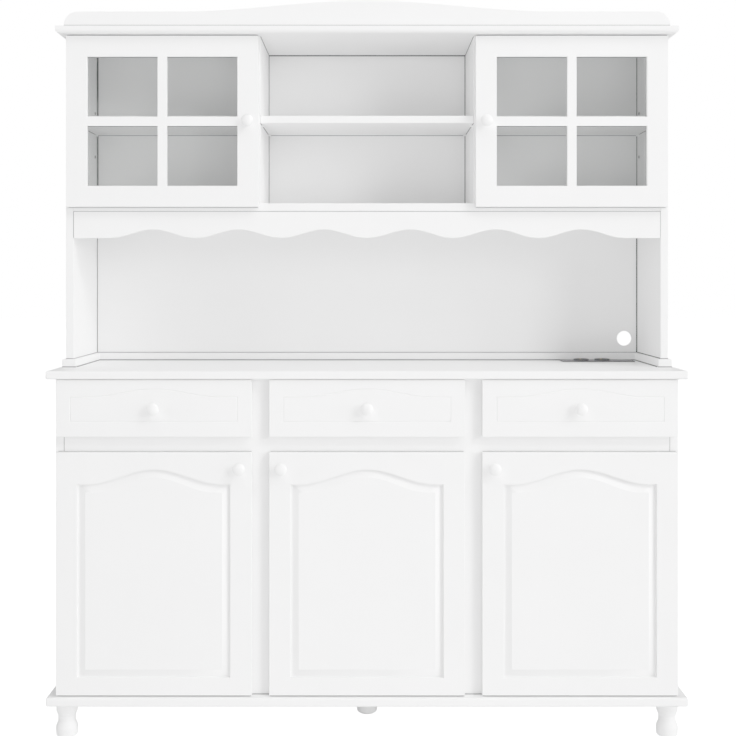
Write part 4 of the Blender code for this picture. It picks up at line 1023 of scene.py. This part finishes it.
def plinth_lines(shape):
    """Painted shade lines: the plinth on the worktop, inside and in front, and the hutch's sides on the
    plinth.
    """
    low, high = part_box("hutch_plinth")
    inside = HUTCH_INSIDE - PLINTH_PROUD
    back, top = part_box("niche_back")[0][1] - PLINTH_PROUD, WORKTOP_TOP + LINE_LIFT
    fillet(shape, (-inside, back, top), (inside, back, top), (0, -LINE_HEAVY, LINE_BOLD))
    for side, size in ((-1, LINE_MIDDLE), (1, LINE_BOLD)):
        x = side * inside
        fillet(shape, (x, HUTCH_FRONT, top), (x, back, top), (-side * size, 0, size))
        heights = [WORKTOP_TOP + reach for reach in PLINTH_LINE]
        strip(shape, sorted((x, side * high[0])), low[1], heights, PLINTH_LINE_PROUD)
        across = sorted((side * (HUTCH_INSIDE + HUTCH_SIDE_GAP), side * (high[0] - PLINTH_PROUD)))
        heights = [high[2] + reach for reach in HUTCH_LINE]
        strip(shape, across, HUTCH_FRONT, heights)


def frame_lines(shape):
    """Painted shade lines: the face frame against the base's sides at its middle rail, and its foot on the
    base board.
    """
    low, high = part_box("face_frame")
    heights = (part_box("door_1_leaf")[1][2] - RAIL_LAP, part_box("drawer_1_front")[0][2] + RAIL_LAP)
    for side, half in zip((-1, 1), FRAME_SIDE_HALVES):
        x = side * high[0]
        strip(shape, (x - half, x + half), low[1], heights)
    face, board_top = low[1] - LINE_LIFT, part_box("base_board")[1][2] + LINE_LIFT
    start, end = (-high[0], face, board_top), (high[0], face, board_top)
    fillet(shape, start, end, (0, -LINE_BOLD, LINE_FINE))


def peg_hole_shadows(shape):
    """Painted shadow: dark rims in the mouths of the empty peg holes beside the glazed bays."""
    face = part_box("valance")[1][0] + BOARD_CLEARANCE
    front = HUTCH_FRONT + PEG_FRONT_INSET
    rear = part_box("bay_partition_right")[1][1] - PEG_BACK_INSET
    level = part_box("shelf_right")[0][2] - BOARD_CLEARANCE - PEG_RADIUS
    inner, outer = PEG_RADIUS - PEG_RIM, PEG_RADIUS + PEG_RIM
    profile = [(inner, 0.0), (outer, 0.0), (outer - PEG_RIM_SLOPE, PEG_RIM_PROUD)]
    profile += [(inner + PEG_RIM_SLOPE, PEG_RIM_PROUD), (inner, 0.0)]
    hole_shadows = bmesh.new()
    for side, axis in ((-1, "+X"), (1, "-X")):
        for y in (front, rear):
            for step in (-1, 1):
                middle = (side * face, y, level + step * PEG_SPACING)
                turn(hole_shadows, profile, PEG_STEPS, around(middle, axis))
    bmesh.ops.remove_doubles(hole_shadows, verts=hole_shadows.verts, dist=WELD_DISTANCE)
    absorb(shape, hole_shadows)


def make_joint_shade_lines():
    """Dark beads in and over the carcass's joints, which stand in for shadow."""
    shape = bmesh.new()
    parts = (niche_lines, bay_lines, valance_lines, crown_line, plinth_lines, frame_lines, peg_hole_shadows)
    for lines in parts:
        lines(shape)
    piece("joint_shade_lines", shape, SHADOW, "cabinet", "black_plastic")


# Painted shade lines at the panes, painted shade lips in the door gaps, and panel pins
def make_pane_shade_lines():
    """Painted shade: a dark line between each pane and its bars, widest along the top."""
    for name in GLAZED_DOORS:
        low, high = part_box(f"{name}_frame")
        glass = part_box(f"{name}_glass")[0][1] - LINE_LIFT
        pane_width = (high[0] - low[0] - 2 * GLAZED_RAIL - MUNTIN_WIDTH) / 2
        pane_height = (high[2] - low[2] - 2 * GLAZED_RAIL - MUNTIN_WIDTH) / 2
        shape = bmesh.new()
        for left in (low[0] + GLAZED_RAIL, high[0] - GLAZED_RAIL - pane_width):
            for foot in (low[2] + GLAZED_RAIL, high[2] - GLAZED_RAIL - pane_height):
                right, top = left + pane_width, foot + pane_height
                fillet(shape, (left, glass, top), (right, glass, top), (0, -PANE_SHADE_REACH, -PANE_SHADE_LEG))
                fillet(shape, (left, glass, foot), (right, glass, foot), (0, -PANE_SHADE_LEG, PANE_SHADE_LEG))
                for x, inwards in ((left, 1), (right, -1)):
                    fillet(shape, (x, glass, foot), (x, glass, top), (inwards * PANE_SHADE_LEG, -PANE_SHADE_LEG, 0))
        piece(f"{name}_pane_shade", shape, SHADOW, name, "black_plastic")


def gap_shade_pair(name, box, gap, behind):
    """A door's two lips of painted shade: one in its gap, between two heights, and one behind its other
    end.
    """
    low, high = box
    left, right, back = low[0] + LIP_INSET, high[0] - LIP_INSET, high[1]
    shape = bmesh.new()
    strip(shape, (left, right), low[1] + LIP_DEPTH, gap, 0.0)
    foot, top = (left, back - LIP_LAP, behind[0]), (right, back + LIP_BEHIND, behind[1])
    rounded_block(shape, foot, top, STRIP_CHAMFER, 1)
    piece(f"{name}_gap_shade", shape, SHADOW, name, "black_plastic")


def make_door_gap_shades():
    """Dark lips of painted shade that close the gaps above and below each door; they swing with it."""
    board_top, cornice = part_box("base_board")[1][2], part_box("cornice")[0][2]
    for name in BASE_DOORS:
        low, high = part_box(f"{name}_leaf")
        behind = [high[2] + reach for reach in LEAF_LIP]
        gap_shade_pair(name, (low, high), (board_top + LIP_CLEARANCE, low[2] + LIP_LAP), behind)
    for name in GLAZED_DOORS:
        low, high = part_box(f"{name}_frame")
        behind = [low[2] + reach for reach in GLAZED_LIP]
        gap_shade_pair(name, (low, high), (high[2] - LIP_LAP, cornice - CORNICE_CLEARANCE), behind)


def make_panel_pins():
    """The small pins that hold the back panels."""
    dome = [(0.0, -PIN_SUNK), (PIN_RADIUS, -PIN_SUNK)]
    dome += arc((0.0, 0.0), PIN_RADIUS, PIN_HEIGHT, 0, 90, 4)[:-1] + [(0.0, PIN_HEIGHT)]
    shape = bmesh.new()
    for name in ("base_back", "niche_back", "hutch_back"):
        low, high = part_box(name)
        across = max(2, round((high[0] - low[0]) / PIN_PITCH))
        upright = max(2, round((high[2] - low[2]) / PIN_PITCH))
        spots = set()
        for step in range(across + 1):
            x = low[0] + PIN_INSET_X + (high[0] - low[0] - 2 * PIN_INSET_X) * step / across
            spots |= {(x, low[2] + PIN_INSET_Z), (x, high[2] - PIN_INSET_Z)}
        for step in range(1, upright):
            z = low[2] + (high[2] - low[2]) * step / upright
            spots |= {(low[0] + PIN_INSET_X, z), (high[0] - PIN_INSET_X, z)}
        for x, z in sorted(spots):
            turn(shape, dome, PIN_STEPS, around((x, high[1], z), "+Y"))
    piece("panel_pins", shape, STEEL, "cabinet", "hinge_steel")


# Studio
def make_camera():
    """A level camera with a shifted view, so that uprights stay upright."""
    data = bpy.data.cameras.new("camera")
    data.lens = CAMERA_LENS
    data.sensor_width = CAMERA_SENSOR
    data.shift_y = CAMERA_SHIFT_Y
    camera = placed("camera", data)
    camera.location = CAMERA_PLACE
    camera.rotation_euler = (math.pi / 2, 0.0, 0.0)
    bpy.context.scene.camera = camera


def make_world():
    """A white backdrop, and weaker white light from all around."""
    world = bpy.data.worlds.new("studio")
    world.use_nodes = True
    nodes, links = world.node_tree.nodes, world.node_tree.links
    lighting = nodes["Background"]
    preset(lighting, {"Color": WORLD_WHITE, "Strength": WORLD_LIGHT})
    backdrop = nodes.new("ShaderNodeBackground")
    preset(backdrop, {"Color": WORLD_WHITE, "Strength": WORLD_SHOWN})
    path = nodes.new("ShaderNodeLightPath")
    mixed = nodes.new("ShaderNodeMixShader")
    links.new(path.outputs["Is Camera Ray"], mixed.inputs["Fac"])
    links.new(lighting.outputs["Background"], mixed.inputs[1])
    links.new(backdrop.outputs["Background"], mixed.inputs[2])
    links.new(mixed.outputs["Shader"], nodes["World Output"].inputs["Surface"])
    bpy.context.scene.world = world


def area_light(name, place, size, power):
    """A square lamp that faces the cabinet."""
    data = bpy.data.lights.new(name, "AREA")
    data.shape = "SQUARE"
    data.size = size
    data.energy = power
    light = placed(name, data)
    light.location = place
    aim = Vector(LIGHT_TARGET) - Vector(place)
    light.rotation_euler = aim.to_track_quat("-Z", "Y").to_euler()


def make_floor():
    """A wide floor plane, as stage."""
    shape = bmesh.new()
    bmesh.ops.create_grid(shape, x_segments=1, y_segments=1, size=FLOOR_SIZE / 2)
    mesh = as_mesh("floor", shape)
    mesh.materials.append(floor_white())
    placed("floor", mesh)


def set_colours():
    """Plain display colours, with the brightness curve that the photo's greys ask for."""
    view = bpy.context.scene.view_settings
    view.view_transform = "Standard"
    view.look = "None"
    view.gamma = DISPLAY_GAMMA


for packed in list(bpy.data.materials):
    bpy.data.materials.remove(packed)
make_camera()
make_world()
for light_name, settings in LIGHTS.items():
    area_light(light_name, *settings)
make_floor()
set_colours()

UPRIGHT = ("base_side_", "partition_", "hutch_side_", "bay_partition_", "_leaf", "glazed_door_")
LINED = ("base_back", "partition_left", "partition_right")
PAINTS = {
    axis: painted_wood(f"white_paint_{axis.lower()}", axis, PAINT_SEED * index)
    for index, axis in enumerate("XYZ")
}
LINING = lining()
STEEL = hinge_steel()
GLASS = pane_glass()
PLASTIC = black_plastic()
KNOB = knob_paint()
BRASS = brass_contact()
FELT = felt()
SHADOW = joint_shadow()
GROUP = smoothing_nodes()

for node_name, node in NODES.items():
    node_material = packed_material(node_name)
    node.data.materials.clear()
    node.data.materials.append(node_material)
    if node_material is not GLASS:
        smoothed(node)

make_feet()
make_knobs()
make_leaves()
make_drawer_fronts()
make_hinges()
make_outlet()
make_joint_shade_lines()
make_pane_shade_lines()
make_door_gap_shades()
make_panel_pins()
